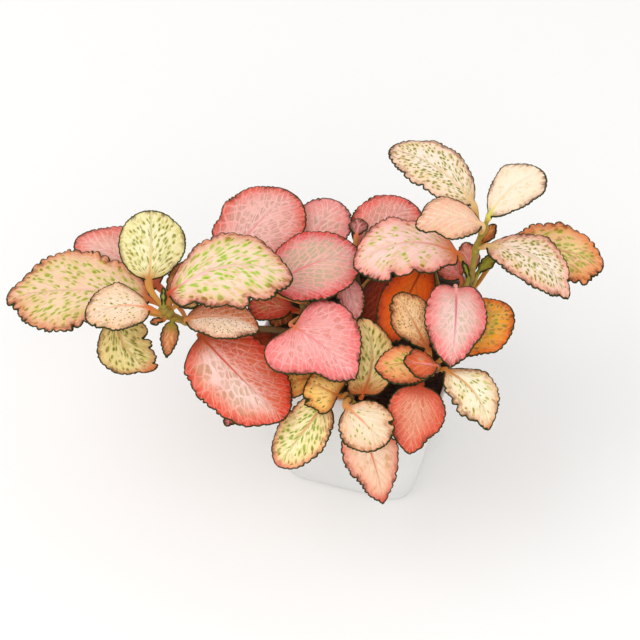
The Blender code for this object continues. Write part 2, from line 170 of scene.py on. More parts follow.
# How a leaf's edge is cut: the lobes' length and depth, and how far the edge waves up and
# down, in millimetres.
Edge = namedtuple("Edge", "lobe depth wave")
USUAL_EDGE = Edge(2.6, 0.75, 0.6)
FINE_EDGE = Edge(2.0, 0.45, 0.4)
SMALL_LOBES = Edge(0.95, 0.24, 0)  # on every leaf, between the larger lobes
EDGES = {
    "left_leaf_01": Edge(3.6, 1.7, 0.9),
    "left_leaf_02": FINE_EDGE,
    "left_leaf_03": FINE_EDGE,
    "left_leaf_07": Edge(3.4, 1.0, 0.8),
    "left_leaf_12": Edge(3.6, 1.0, 0.8),
    "upright_leaf_02": FINE_EDGE,
    "upright_leaf_03": FINE_EDGE,
    "upright_leaf_05": Edge(4.0, 1.4, 0.8),
    "front_leaf_06": Edge(3.4, 1.0, 0.6),
}

# Where an edge leaves the even outline: side (1 is the leaf's left), place from base to
# tip, how far it is pushed out or, below 0, drawn in (mm), and reach along the leaf.
BULGES = {
    "left_leaf_01": ((1, .38, -4.4, .12), (1, .93, -9.0, .05), (-1, .28, -2.0, .14),
                     (-1, .72, 2.2, .12), (-1, .95, -8.0, .05)),
    "left_leaf_02": ((-1, .40, 1.2, .12), (1, .75, -1.3, .08)),
    "left_leaf_03": ((-1, .88, -1.2, .08),),
    "left_leaf_04": ((-1, .45, 1.5, .15),),
    "left_leaf_05": ((1, .78, -2.0, .12), (1, .40, 1.0, .08), (1, .93, -7.0, .05),
                     (-1, .93, -5.0, .05)),
    "left_leaf_07": ((1, .15, -2.0, .08), (1, .75, 1.0, .10), (-1, .18, -3.6, .09),
                     (-1, .58, 2.0, .10), (-1, .80, 1.4, .06)),
    "left_leaf_08": ((1, .50, -2.8, .20), (-1, .84, -2.4, .10)),
    "left_leaf_12": ((-1, .12, 3.0, .07), (-1, .82, 1.8, .10)),
    "left_leaf_14": ((1, .35, -1.8, .10),),
    "back_leaf_02": ((1, .60, -1.0, .15),),
    "crown_leaf_02": ((1, .62, .8, .15), (-1, .62, -4.8, .20)),
    "upright_leaf_01": ((1, .90, -1.2, .06), (-1, .82, -1.4, .10)),
    "upright_leaf_02": ((1, .62, 1.0, .12), (-1, .80, 1.0, .10)),
    "upright_leaf_03": ((1, .78, -3.6, .13), (-1, .92, -5.0, .06), (1, .93, -3.0, .05)),
    "upright_leaf_04": ((1, .40, 1.1, .12), (1, .93, -5.0, .05), (-1, .93, -5.0, .05)),
    "upright_leaf_05": ((-1, .84, 2.6, .08),),
    "upright_leaf_10": ((1, .10, -4.6, .09), (1, .80, 4.2, .14), (-1, .35, -3.2, .15)),
    "upright_leaf_11": ((1, .72, -1.0, .12),),
    "rosette_leaf_01": ((-1, .50, 1.2, .20),),
    "rosette_leaf_02": ((1, .28, 1.0, .10), (-1, .35, -1.3, .06), (-1, .86, -3.0, .08)),
    "rosette_leaf_03": ((-1, .85, -1.8, .08),),
    "rosette_leaf_05": ((1, .78, -1.8, .12), (1, .36, .8, .12), (1, .95, -4.0, .05),
                        (-1, .93, -4.0, .06)),
    "rosette_leaf_06": ((1, .78, -2.2, .12),),
    "front_leaf_03": ((1, .40, -2.6, .25),),
    "front_leaf_05": ((-1, .30, -.8, .10),),
    "front_leaf_06": ((-1, .65, -1.3, .10),),
}

# Single cuts into an edge: side, place from base to tip, depth and half width (mm).
NOTCHES = {
    "left_leaf_01": ((1, .955, 2.2, .7), (-1, .66, .9, .4), (1, .70, 1.2, .5)),
    "left_leaf_02": ((1, .90, 1.0, .6),),
    "left_leaf_05": ((1, .56, 3.2, 1.0), (1, .72, 1.2, .6)),
    "left_leaf_07": ((-1, .66, 2.6, .9), (-1, .88, 1.4, .8), (1, .52, .7, .6)),
    "left_leaf_12": ((1, .46, 2.0, .9), (-1, .58, 1.4, .7)),
    "upright_leaf_01": ((1, .50, 1.2, .7), (1, .74, .9, .6)),
    "upright_leaf_05": ((-1, .76, 1.2, .6), (-1, .90, 1.6, .6)),
    "upright_leaf_10": ((1, .66, 3.0, 1.0), (1, .46, 1.8, .9)),
    "rosette_leaf_02": ((-1, .50, 1.8, .8), (-1, .70, 1.2, .6)),
    "front_leaf_03": ((1, .82, 2.6, .8), (-1, .55, 1.0, .7)),
    "front_leaf_04": ((1, .80, 2.2, .7),),
    "front_leaf_06": ((-1, .45, 1.0, .6), (1, .30, 1.0, .6)),
}

Look = namedtuple(
    "Look",
    "core mid edge vein rib areole areoles foot foot_reach flush net cell"
    " speck specks speck_size dots tip tip_reach half half_share",
    defaults=(None, 0, None, 0, None, 0, None, 0),
)

# core, mid, edge: the blade's colour between the veins, from its middle out to its margin.
# vein: the vein net. rib: the midrib. areole: the darker meshes of the net, and areoles the
# share of them. speck: the green spots, specks their share and speck_size their size.
# foot: the blade's base, and foot_reach how far up it goes. flush: width of the margin's
# colour (mm). net: how strongly the net shows. tip, tip_reach: a tint at the tip. dots: the
# share of tiny dark dots. half: a tint of the left half, as strong as half_share. cell: the
# net's meshes, across and along the side veins (mm).
LOOKS = {
    "pink": Look(
        core=(.94, .8, .74), mid=(.93, .62, .58), edge=(.9, .33, .29), vein=(.98, .8, .77),
        rib=(.95, .56, .56), areole=(.68, .6, .47), areoles=.75, foot=(.86, .46, .3),
        foot_reach=.14, flush=6.0, net=.8, cell=(2.4, 4.2)),
    "speckled": Look(
        core=(.95, .8, .68), mid=(.94, .72, .57), edge=(.85, .47, .29), vein=(.98, .82, .76),
        rib=(.95, .68, .62), areole=(.84, .74, .4), areoles=.6, specks=.7, foot=(.8, .44, .22),
        foot_reach=.18, flush=4.5, net=.7, cell=(2.2, 3.5)),
    "cream": Look(
        core=(.94, .9, .66), mid=(.93, .86, .58), edge=(.84, .66, .36), vein=(.97, .92, .78),
        rib=(.88, .64, .4), areole=(.8, .76, .36), areoles=.5, speck=(.4, .43, .09), specks=.65,
        speck_size=.7, foot=(.8, .5, .22), foot_reach=.2, flush=3.0, net=.5, cell=(1.6, 2.2)),
    "pale": Look(
        core=(.99, .9, .81), mid=(.98, .85, .73), edge=(.92, .66, .5), vein=(1.0, .93, .87),
        rib=(.93, .62, .46), areole=(.9, .8, .6), areoles=.35, speck=(.52, .5, .18), specks=.12,
        speck_size=.5, foot=(.86, .55, .3), foot_reach=.16, flush=3.0, net=.55, cell=(1.8, 2.4)),
    "tan": Look(
        core=(.88, .66, .44), mid=(.82, .54, .3), edge=(.7, .34, .16), vein=(.94, .74, .52),
        rib=(.84, .5, .26), areole=(.66, .46, .2), areoles=.5, speck=(.36, .3, .08), specks=.2,
        speck_size=.6, foot=(.66, .34, .13), foot_reach=.3, flush=3.5, net=.6, cell=(1.8, 2.4)),
    "orange": Look(
        core=(.9, .64, .36), mid=(.86, .5, .24), edge=(.8, .32, .15), vein=(.95, .72, .56),
        rib=(.9, .48, .3), areole=(.66, .5, .16), areoles=.5, specks=.4, speck_size=.8,
        foot=(.68, .34, .12), foot_reach=.25, flush=4.5, net=.6, cell=(2.0, 2.6)),
    "red": Look(
        core=(.92, .58, .46), mid=(.88, .42, .3), edge=(.84, .26, .17), vein=(.96, .7, .58),
        rib=(.94, .64, .52), areole=(.8, .36, .22), areoles=.4, speck_size=.5, foot=(.7, .24, .1),
        foot_reach=.3, flush=6.0, net=.7, cell=(1.5, 3.2)),
    # The shade look is a painted shade: dark brick colours for leaves that lie in the shade of others.
    "shade": Look(
        core=(.66, .25, .1), mid=(.6, .2, .07), edge=(.5, .12, .05), vein=(.76, .34, .18),
        rib=(.7, .28, .12), areole=(.48, .16, .05), areoles=.4, foot=(.46, .18, .06),
        foot_reach=.3, flush=5.0, net=.5, cell=(2.0, 2.6)),
    "green": Look(
        core=(.56, .6, .2), mid=(.5, .54, .15), edge=(.42, .4, .12), vein=(.66, .66, .3),
        rib=(.6, .6, .22), areole=(.44, .5, .1), areoles=.4, foot=(.52, .52, .16), foot_reach=.2,
        flush=1.2, net=.4, tip=(.5, .36, .14), tip_reach=.3, cell=(1.4, 2.0)),
}

# What sets single leaves apart from the others of their look.
CHANGES = {
    "left_leaf_01": dict(
        core=(.93, .83, .64), mid=(.91, .74, .54), edge=(.83, .46, .27), vein=(1.0, .78, .76),
        rib=(.96, .74, .66), speck=(.56, .62, .12), specks=.95, speck_size=.74, net=.85,
        cell=(1.7, 3.8)),
    "left_leaf_02": dict(
        core=(.96, .83, .7), mid=(.95, .78, .62), edge=(.86, .62, .42), rib=(.95, .66, .52),
        specks=.35, foot=(.84, .42, .18), dots=.1),
    "left_leaf_03": dict(
        core=(.96, .92, .73), mid=(.93, .89, .62), edge=(.85, .8, .48), vein=(1.0, .93, .82),
        rib=(.93, .78, .52), speck=(.45, .49, .12), specks=.95, speck_size=.72, flush=2.0,
        cell=(1.5, 3.0)),
    "left_leaf_04": dict(
        core=(.91, .71, .62), mid=(.91, .58, .51), edge=(.9, .38, .32), areole=(.85, .52, .44),
        areoles=.4),
    "left_leaf_05": dict(
        core=(.93, .85, .56), mid=(.9, .8, .5), edge=(.82, .62, .34), vein=(1.0, .92, .78),
        specks=.9, speck_size=.75, tip=(.84, .38, .22), tip_reach=.22, cell=(1.5, 3.0)),
    "left_leaf_06": dict(
        core=(.86, .58, .4), mid=(.8, .48, .3), foot=(.52, .46, .12), foot_reach=.5),
    "left_leaf_07": dict(
        core=(.95, .87, .73), mid=(.93, .77, .63), edge=(.82, .42, .28), vein=(1.0, .79, .79),
        rib=(.97, .74, .72), speck=(.58, .74, .14), specks=.95, speck_size=.74, foot=(.8, .3, .15),
        foot_reach=.1, net=.85, cell=(1.9, 4.2)),
    "left_leaf_08": dict(
        core=(1.0, .9, .78), mid=(1.0, .86, .72), edge=(.76, .42, .22), specks=0, dots=.5,
        half=(.82, .4, .1), half_share=.9),
    "left_leaf_09": dict(core=(.8, .6, .32), mid=(.73, .49, .21), specks=.6),
    "left_leaf_12": dict(
        core=(1.0, .88, .84), mid=(.94, .56, .44), edge=(.87, .17, .08), vein=(.97, .76, .7),
        rib=(.84, .3, .2), areole=(.74, .56, .38), areoles=.9, foot=(.72, .34, .15),
        foot_reach=.22, flush=6.5, net=.85, half=(.85, .3, .13), half_share=.85),
    "left_leaf_13": dict(core=(.82, .34, .24), mid=(.76, .24, .15), edge=(.64, .18, .1)),
    "left_leaf_14": dict(
        core=(.94, .7, .65), mid=(.92, .55, .51), edge=(.87, .27, .15), areole=(.77, .56, .48)),
    "left_leaf_15": dict(core=(.66, .3, .13), mid=(.62, .25, .1), edge=(.56, .2, .08)),
    "crown_leaf_01": dict(
        core=(.87, .69, .58), mid=(.9, .56, .53), edge=(.84, .15, .13), vein=(.97, .74, .74),
        rib=(.94, .5, .52), areole=(.68, .67, .52), areoles=.95, cell=(2.1, 4.2)),
    "crown_leaf_02": dict(
        core=(.96, .64, .61), mid=(.96, .51, .49), edge=(.94, .42, .42), vein=(.98, .78, .77),
        areole=(.86, .5, .44), areoles=.35, net=.9),
    "crown_leaf_03": dict(core=(.96, .82, .8), mid=(.95, .72, .7), edge=(.88, .45, .42)),
    "crown_leaf_04": dict(core=(.52, .15, .06), mid=(.46, .12, .05), edge=(.36, .08, .04)),
    "crown_leaf_05": dict(
        core=(.8, .32, .15), mid=(.82, .27, .12), edge=(.8, .18, .1), speck=(.42, .38, .08),
        specks=.3),
    "crown_leaf_06": dict(core=(.6, .34, .13), mid=(.58, .3, .1), edge=(.66, .22, .11)),
    "back_leaf_01": dict(
        core=(.93, .66, .59), mid=(.93, .57, .53), edge=(.92, .52, .51), areole=(.74, .6, .5),
        areoles=.5),
    "back_leaf_02": dict(
        core=(.92, .57, .51), mid=(.92, .53, .46), edge=(.9, .27, .23), areole=(.8, .58, .48),
        areoles=.7),
    "back_leaf_03": dict(core=(.76, .4, .36), mid=(.68, .3, .26), edge=(.55, .22, .16)),
    "upright_leaf_01": dict(
        core=(1.0, .93, .84), mid=(.99, .88, .75), edge=(.92, .66, .5), vein=(1.0, .87, .82),
        rib=(.96, .82, .68), speck=(.36, .42, .05), specks=1.0, speck_size=.72, foot=(.9, .74, .5),
        flush=2.5, net=.8, cell=(1.2, 2.1)),
    "upright_leaf_02": dict(
        core=(1.0, .91, .8), mid=(1.0, .87, .74), edge=(.95, .8, .66), rib=(.97, .84, .66),
        specks=0, foot=(.84, .8, .36), flush=2.0),
    "upright_leaf_03": dict(
        core=(.97, .75, .62), mid=(.95, .69, .55), edge=(.9, .66, .48), rib=(.96, .78, .66),
        specks=0, foot=(.94, .76, .56)),
    "upright_leaf_04": dict(
        core=(.99, .94, .86), mid=(.97, .85, .75), edge=(.93, .57, .45), vein=(1.0, .86, .82),
        rib=(.97, .84, .76), speck=(.36, .42, .05), specks=1.0, speck_size=.72, foot=(.9, .74, .5),
        net=.8, cell=(1.2, 2.1)),
    "upright_leaf_05": dict(
        core=(.99, .88, .6), mid=(.97, .75, .48), edge=(.92, .46, .22), vein=(1.0, .72, .66),
        speck=(.58, .65, .14), specks=.8, flush=6.0, cell=(1.8, 3.6)),
    "upright_leaf_06": dict(core=(.88, .58, .28), mid=(.84, .5, .2)),
    "upright_leaf_07": dict(core=(.62, .6, .14), mid=(.56, .54, .1), edge=(.42, .4, .08)),
    "upright_leaf_08": dict(core=(.95, .74, .64), mid=(.93, .6, .47), edge=(.87, .4, .26)),
    "upright_leaf_09": dict(core=(.93, .5, .4), mid=(.9, .4, .3), edge=(.8, .26, .16)),
    "upright_leaf_10": dict(
        core=(.99, .86, .8), mid=(.97, .78, .71), edge=(.93, .47, .41), vein=(1.0, .78, .78),
        rib=(.96, .7, .66), speck=(.58, .68, .15), specks=.5, speck_size=.55, foot=(.84, .44, .16),
        foot_reach=.3, cell=(1.8, 3.6)),
    "upright_leaf_11": dict(
        core=(.95, .83, .79), mid=(.94, .64, .61), edge=(.9, .34, .34), rib=(.84, .44, .49),
        areole=(.79, .71, .6), foot=(.94, .66, .62), foot_reach=.06),
    "upright_leaf_12": dict(
        core=(1.0, .5, .1), mid=(1.0, .42, .06), edge=(.74, .2, .05), areoles=.15),
    "rosette_leaf_01": dict(
        core=(.98, .74, .1), mid=(.97, .62, .05), edge=(.88, .34, .1), speck=(.58, .56, .06),
        specks=.7),
    "rosette_leaf_02": dict(
        core=(1.0, .97, .86), mid=(.99, .91, .77), edge=(.9, .62, .4), speck=(.48, .53, .13),
        specks=.6, speck_size=.58, flush=4.0, tip=(.84, .45, .22), tip_reach=.12, cell=(1.4, 2.6)),
    "rosette_leaf_03": dict(
        core=(.93, .5, .29), mid=(.88, .4, .21), edge=(.76, .26, .12), vein=(.94, .62, .46),
        net=.5),
    "rosette_leaf_04": dict(
        core=(.97, .86, .52), mid=(.96, .62, .36), edge=(.86, .36, .22), speck=(.64, .6, .15)),
    "rosette_leaf_05": dict(
        core=(.97, .82, .64), mid=(.93, .72, .5), foot=(.72, .36, .16), foot_reach=.4, dots=.4,
        cell=(1.0, 1.0)),
    "rosette_leaf_06": dict(core=(.87, .62, .49)),
    "front_leaf_01": dict(
        core=(1.0, .97, .66), mid=(1.0, .9, .58), edge=(1.0, .69, .45), vein=(.97, .74, .62),
        speck=(.44, .47, .09), specks=.7, speck_size=.75, foot=(.8, .36, .1), foot_reach=.35,
        cell=(1.5, 3.3)),
    "front_leaf_02": dict(
        core=(1.0, .78, .42), mid=(.98, .7, .34), edge=(.72, .32, .12), vein=(.74, .46, .2)),
    "front_leaf_03": dict(core=(1.0, .86, .5), mid=(1.0, .79, .4), edge=(.9, .52, .2)),
    "front_leaf_04": dict(
        core=(.97, .89, .74), mid=(.95, .81, .65), edge=(.89, .56, .34), speck=(.54, .62, .2),
        specks=.4, flush=4.0),
    "front_leaf_05": dict(
        core=(1.0, .96, .74), mid=(.98, .88, .62), edge=(.92, .52, .36), vein=(1.0, .86, .72),
        speck=(.45, .62, .1), specks=.95, speck_size=.75, foot=(.64, .44, .13), foot_reach=.24,
        flush=3.6, tip=(.9, .46, .4), tip_reach=.14, cell=(1.4, 3.4)),
    "front_leaf_06": dict(
        core=(1.0, .88, .77), mid=(.99, .78, .66), edge=(.9, .42, .34), areole=(.88, .66, .46),
        specks=0, foot=(.6, .54, .19), foot_reach=.3, tip=(.86, .28, .22), tip_reach=.18),
}

RIM_COLOUR = (.14, .19, .03)
SCORCH_COLOUR = (.42, .17, .06)
STALK_COLOUR = (.80, .64, .30)
UNDER_COLOUR = (.80, .55, .44)
SPECK_NEAR_EDGE = (.52, .36, .12)
HALO_COLOUR = (.93, .89, .48)
DOT_COLOUR = (.28, .20, .08)
# A painted shade darkens the stems low down, under the leaves.
LOW_STEM_SHADE_COLOUR = (.38, .25, .13)
STEM_SHADE_LOW = 100 * MM  # below this the stems get a painted shade, dark brown
STEM_SHADE_HIGH = 110 * MM
# A painted shade, dark brown, on the pot's inner wall just above the soil. The shake also moves the painted
# shade of the low stems.
POT_WALL_SHADE_COLOUR = (.20, .13, .08)
POT_WALL_SHADE_LOW = 3 * MM
POT_WALL_SHADE_HIGH = 8 * MM
SHADE_SHAKE = 5 * MM

VEIN_LEAN = 2.3  # how far ahead a side vein runs for each step outward, at the midrib
VEIN_BEND = 0.7  # how much it bends outward by the margin
VEIN_SPREAD = 0.5  # distance square to the side veins for each step along the midrib
VEIN_SHEAR = 1.7  # turns length along the vein and place along the midrib into a square grid
FAN_STEP = 14 * MM  # width given to each radian of the veins that fan from the foot
SIDE_VEIN_STEP = 2.3  # distance between side veins, square to them (mm)
FINE_VEIN_STEP = 0.85  # distance between the fine veins beside them (mm)


def look_of(leaf):
    return LOOKS[leaf.look]._replace(**CHANGES.get(leaf.name, {}))


def seeded(name):
    """A random generator that depends only on a piece's name."""
    return np.random.default_rng([SEED, *name.encode()])


def linear(colour):
    """A colour as the shader wants it, from the values a screen shows."""
    return tuple(c / 12.92 if c <= 0.04045 else ((c + 0.055) / 1.055) ** 2.4 for c in colour)


def smooth_step(low, high, x):
    t = np.clip((x - low) / (high - low), 0.0, 1.0)
    return t * t * (3 - 2 * t)


def mesh_object(name, points, faces):
    mesh = bpy.data.meshes.new(name)
    mesh.from_pydata(points, [], faces)
    mesh.update()
    mesh.validate()
    mesh.shade_smooth()
    obj = bpy.data.objects.new(name, mesh)
    bpy.context.scene.collection.objects.link(obj)
    return obj


def add_attribute(obj, name, values):
    """Stores a number, or three numbers, for each point of a mesh."""
    kind, key = ("FLOAT_VECTOR", "vector") if values.ndim == 2 else ("FLOAT", "value")
    attribute = obj.data.attributes.new(name, kind, "POINT")
    attribute.data.foreach_set(key, values.astype(np.float32).ravel())


def stand_in(node, suffix, points, faces, material, **attributes):
    """Puts a fine mesh in the place of one of the frame's nodes."""
    obj = mesh_object(node + suffix, points, faces)
    for name, values in attributes.items():
        add_attribute(obj, name, values)
    obj.data.materials.append(material)
    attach(obj, "root")
    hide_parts(node)


# The order of a quad's corners, for faces that look one way or the other.
OUTWARD = (0, 1, 2, 3)
TURNED = (0, 3, 2, 1)


def sheet_faces(index, order):
    """The quads of a grid of points, given by their numbers."""
    corners = index[:-1, :-1], index[:-1, 1:], index[1:, 1:], index[1:, :-1]
    return np.stack([corners[i] for i in order], axis=-1).reshape(-1, 4).tolist()


def tube_faces(rings, sides, order=OUTWARD):
    """The quads between rings of points that follow each other."""
    faces = []
    for i in range(rings - 1):
        for k in range(sides):
            a, b = i * sides + k, i * sides + (k + 1) % sides
            corners = a, b, b + sides, a + sides
            faces.append(tuple(corners[j] for j in order))
    return faces


def run_of(*steps):
    """The distance run at each point of a line, from its steps in each direction."""
    return np.concatenate([[0.0], np.cumsum(np.hypot(*steps))])


# ---- routes and leaf shapes, as in the frame

def through(a, b, c, d, t):
    """A point between b and c on the smooth curve through a, b, c and d."""
    return 0.5 * (
        2 * b + (c - a) * t + (2 * a - 5 * b + 4 * c - d) * t * t
        + (3 * b - a - 3 * c + d) * t ** 3
    )


def smooth_route(stops, steps=STEM_SPAN_STEPS):
    """A stem's centre line in metres, with so many steps between two stops."""
    stops = [np.array(stop, float) * MM for stop in stops]
    stops[0] = stops[0] + np.array((0, 0, GAP))
    ends = [2 * stops[0] - stops[1], *stops, 2 * stops[-1] - stops[-2]]
    route = [
        through(*ends[i:i + 4], step / steps)
        for i in range(len(stops) - 1)
        for step in range(steps)
    ]
    return np.array([*route, stops[-1]])


def stem_share(station):
    return 1.0 + (STEM_TIP_SHARE - 1.0) * station


def on_stem(name, station):
    """A stem's centre and direction at a station."""
    route = smooth_route(STEM_ROUTES[name])
    place = min(station, 1.0) * (len(route) - 1)
    i = min(int(place), len(route) - 2)
    along = route[i + 1] - route[i]
    return route[i] + along * (place - i), along / np.linalg.norm(along)


def leaf_turn(leaf):
    angles = (leaf.roll, -leaf.pitch, leaf.azimuth)
    return np.array(Euler([math.radians(angle) for angle in angles], "XYZ").to_matrix())


def half_width(leaf, u):
    """The blade's half width at u, from 0 at its base to 1 at its tip, in metres."""
    rise = leaf.point * leaf.belly / (1 - leaf.belly)
    inside = np.clip(u, 1e-6, 1 - 1e-6)
    share = (inside / leaf.belly) ** rise * ((1 - inside) / (1 - leaf.belly)) ** leaf.point
    wing = wing_width(leaf)
    least = wing + (TIP_HALF_WIDTH - wing) * np.minimum(1, u * 4)
    return np.maximum(leaf.width * MM / 2 * share, least)


def wing_width(leaf):
    """The stalk's half width where it meets the blade: it widens towards it."""
    spread = 0.0 if leaf.name in HEART_BASES else min(1.0, leaf.width / WING_LEAF)
    return STALK_HALF_WIDTH + spread * WING_WIDTH


def stalk_centres(leaf, turn):
    """The stalk's centre line and its side directions, from the stem to the blade."""
    centre, along = on_stem(leaf.stem, leaf.station)
    reach = np.array(leaf.base) * MM - centre
    out = reach - along * (reach @ along)
    out /= np.linalg.norm(out)
    start = centre + out * STEM_RADIUS * stem_share(leaf.station) * STALK_START
    start = turn.T @ (start - np.array(leaf.base) * MM)
    out = turn.T @ out
    slope = np.array((1.0, 4 * leaf.sweep, 4 * leaf.arch))
    slope /= np.linalg.norm(slope)
    reach = np.linalg.norm(start) / 3
    stops = (start, start + out * reach, -slope * reach)
    before = Vector(slope)
    side = Vector((0.0, 0.0, 1.0)).cross(before).normalized()
    rows = []
    for step in reversed(range(STALK_ROWS)):
        t = step / STALK_ROWS
        place = (
            stops[0] * (1 - t) ** 3 + stops[1] * 3 * t * (1 - t) ** 2
            + stops[2] * 3 * t * t * (1 - t)
        )
        ahead = Vector(
            (stops[1] - stops[0]) * 3 * (1 - t) ** 2
            + (stops[2] - stops[1]) * 6 * t * (1 - t)
            - stops[2] * 3 * t * t
        ).normalized()
        side = before.rotation_difference(ahead) @ side
        before = ahead
        rows.insert(0, (place, np.array(side.normalized()), np.array(ahead)))
    return rows


# ---- a leaf's fine mesh

# A lobe's length and depth vary between these shares of its Edge's. The skew leans each lobe
# towards the tip, and the squareness makes it blunt.
LOBE_LENGTHS = (0.55, 1.5)
LOBE_DEPTHS = (0.35, 1.25)
LOBE_SKEW = 0.85
LOBE_SQUARENESS = 2.6
CUTS_START = (0.04, 0.20)  # the cuts deepen between these places on the blade
CUTS_END = (0.94, 1.0)  # and lose CUTS_LOST of their depth between these
CUTS_LOST = 0.7
MAP_STEPS = 80  # the points on a side vein that its map is read from
MAP_REACH = 1.3  # how far beyond the half width they go


def lobes(run, edge, length, rng):
    """How far the edge is drawn in at each distance along it, as rounded lobes."""
    bounds = [0.0]
    while bounds[-1] < length:
        bounds.append(bounds[-1] + edge.lobe * MM * rng.uniform(*LOBE_LENGTHS))
    bounds = np.array(bounds)
    depths = edge.depth * MM * rng.uniform(*LOBE_DEPTHS, len(bounds))
    place = np.clip(np.searchsorted(bounds, run, side="right") - 1, 0, len(bounds) - 2)
    t = (run - bounds[place]) / (bounds[place + 1] - bounds[place])
    rounding = 1 - np.abs(2 * t ** LOBE_SKEW - 1) ** LOBE_SQUARENESS
    return depths[place] * (1 - rounding)


def draw_in(leaf, u, y, side, rng):
    """The edge's cuts at one side of the blade, for each row, in metres inwards."""
    run = run_of(np.diff(u) * leaf.length * MM, np.diff(y))
    edge = EDGES.get(leaf.name, USUAL_EDGE)
    cut = lobes(run, edge, run[-1], rng)
    cut += lobes(run, SMALL_LOBES, run[-1], rng)
    cut *= smooth_step(*CUTS_START, u) * (1 - CUTS_LOST * smooth_step(*CUTS_END, u))
    for at, place, depth, wide in NOTCHES.get(leaf.name, ()):
        if at == side:
            cut += depth * MM * np.exp(-((run - np.interp(place, u, run)) / (wide * MM)) ** 2)
    return cut


def side_outline(leaf, u, side):
    """One half's width along the blade, in metres."""
    outline = half_width(leaf, u)
    for at, place, push, reach in BULGES.get(leaf.name, ()):
        if at == side:
            outline = outline + push * MM * np.exp(-((u - place) / reach) ** 2) * 4 * u * (1 - u)
    return np.maximum(outline, TIP_HALF_WIDTH)


def vein_place(x, y, half):
    """Where side veins run: place along the midrib and length along the vein, in metres.

    A side vein leaves the midrib at a low angle and bends outward. Those that leave it at
    its foot fan out, and get places below 0.
    """
    side = np.linspace(0.0, 1.0, MAP_STEPS) * half * MAP_REACH
    ahead = side * (VEIN_LEAN - VEIN_BEND * side / half)
    run = run_of(np.diff(side), np.diff(ahead))
    reach = np.hypot(side, ahead)
    angle = np.arctan2(side[1:], ahead[1:])
    away = np.abs(y)
    place = x - np.interp(away, side, ahead)
    length = np.interp(away, side, run)
    radius = np.hypot(x, away)
    turn = np.arctan2(away, x) - np.interp(radius, reach[1:], angle)
    fan = place < 0
    place = np.where(fan, -FAN_STEP * turn, place * VEIN_SPREAD)
    return place, np.where(fan, np.interp(radius, reach, run), length)


def edge_distance(x, y):
    """Each point's distance to the blade's cut edge, both given on the flat blade."""
    points = np.stack([x.ravel(), y.ravel()], axis=-1)
    nearest = np.full(len(points), 1.0)
    for column in (0, -1):
        line = np.stack([x[:, column], y[:, column]], axis=-1)
        start, step = line[:-1], np.diff(line, axis=0)
        size = (step ** 2).sum(axis=1) + 1e-18
        for block in np.array_split(np.arange(len(points)), 8):
            gap = points[block][:, None, :] - start[None]
            t = np.clip((gap * step[None]).sum(axis=-1) / size[None], 0, 1)
            off = np.linalg.norm(gap - t[..., None] * step[None], axis=-1).min(axis=1)
            nearest[block] = np.minimum(nearest[block], off)
    return nearest.reshape(x.shape)


def blade_plan(leaf, u, v, rng):
    """The flat blade: x along it, and y across it before and after the edge is cut."""
    length, half = leaf.length * MM, leaf.width * MM / 2
    halves = {}
    for side in (1, -1):
        outline = side_outline(leaf, u, side)
        slope = np.gradient(outline, u * length)
        halves[side] = (outline, draw_in(leaf, u, outline, side, rng),
                        -slope / np.hypot(1, slope), 1 / np.hypot(1, slope))
    outline, cut, normal_x, normal_y = (
        np.where(v > 0, left[:, None], right[:, None])
        for left, right in zip(halves[1], halves[-1])
    )
    near = np.abs(v) ** CUT_FADE
    y = outline * v
    back = HEART_BASES.get(leaf.name, 0.0) * MM * np.abs(y) / half
    x = (u * length)[:, None] - back * (1 - u[:, None]) ** HEART_FADE
    x = x - cut * near * normal_x
    y_cut = y - cut * near * normal_y * np.sign(v)
    return x, y, np.where(np.sign(v) * y_cut < 0, 0.0, y_cut)


def blade_height(leaf, u, v, y, across, vein_a, rng):
    """The blade's height: its arch and cup, its fields between veins, and its wavy edge."""
    half = leaf.width * MM / 2
    share = np.abs(v)
    bow = 4 * u * (1 - u)
    count = vein_a / SIDE_VEIN_STEP
    to_vein = np.abs(count - np.round(count)) * SIDE_VEIN_STEP
    z = leaf.arch * leaf.length * MM * bow + leaf.cup * y * y / half
    fade = smooth_step(0.0, 0.12, share) * smooth_step(0.0, 0.08, u) * (1 - smooth_step(0.9, 1, u))
    z += FIELD_RISE * (smooth_step(0.0, 0.95, to_vein) - 0.6) * fade * min(1, leaf.width / 25)
    z += MIDRIB_DIP * smooth_step(0.0, 1.5 * MM, across) * smooth_step(0.02, 0.2, u)
    starts = rng.uniform(0, 2 * math.pi, 4)
    wave = EDGES.get(leaf.name, USUAL_EDGE).wave * MM
    for sign, k in ((1, 0), (-1, 1)):
        at = (v * sign > 0) * share ** 3
        turns = leaf.length / WAVE_LENGTH + k * 0.4
        z += wave * at * np.sin(2 * math.pi * turns * u + starts[k]) * bow ** 0.5
    return z


def blade_sheets(leaf, x, y_cut, z, u, v, across):
    """The points of the blade's upper and lower face."""
    bow = 4 * u * (1 - u)
    centre = np.stack([x, leaf.sweep * leaf.length * MM * bow + y_cut, z], axis=-1)
    up = np.cross(np.gradient(centre, axis=0), np.gradient(centre, axis=1))
    up /= np.linalg.norm(up, axis=-1, keepdims=True) + 1e-12
    rim = np.sqrt(np.clip(1 - v ** 2, 0, 1))
    blend = smooth_step(0.0, 0.12, u)
    thin = BLADE_HALF_DEPTH * np.minimum(1, rim * 4)
    above = STALK_HALF_DEPTH * rim * (1 - blend) + thin * blend
    rib = MIDRIB_DEPTH * np.exp(-(across / MIDRIB_WIDTH) ** 2) * (1 - u) * blend
    below = above + rib * np.minimum(1, rim * 2)
    return centre + up * above[..., None], centre - up * below[..., None]


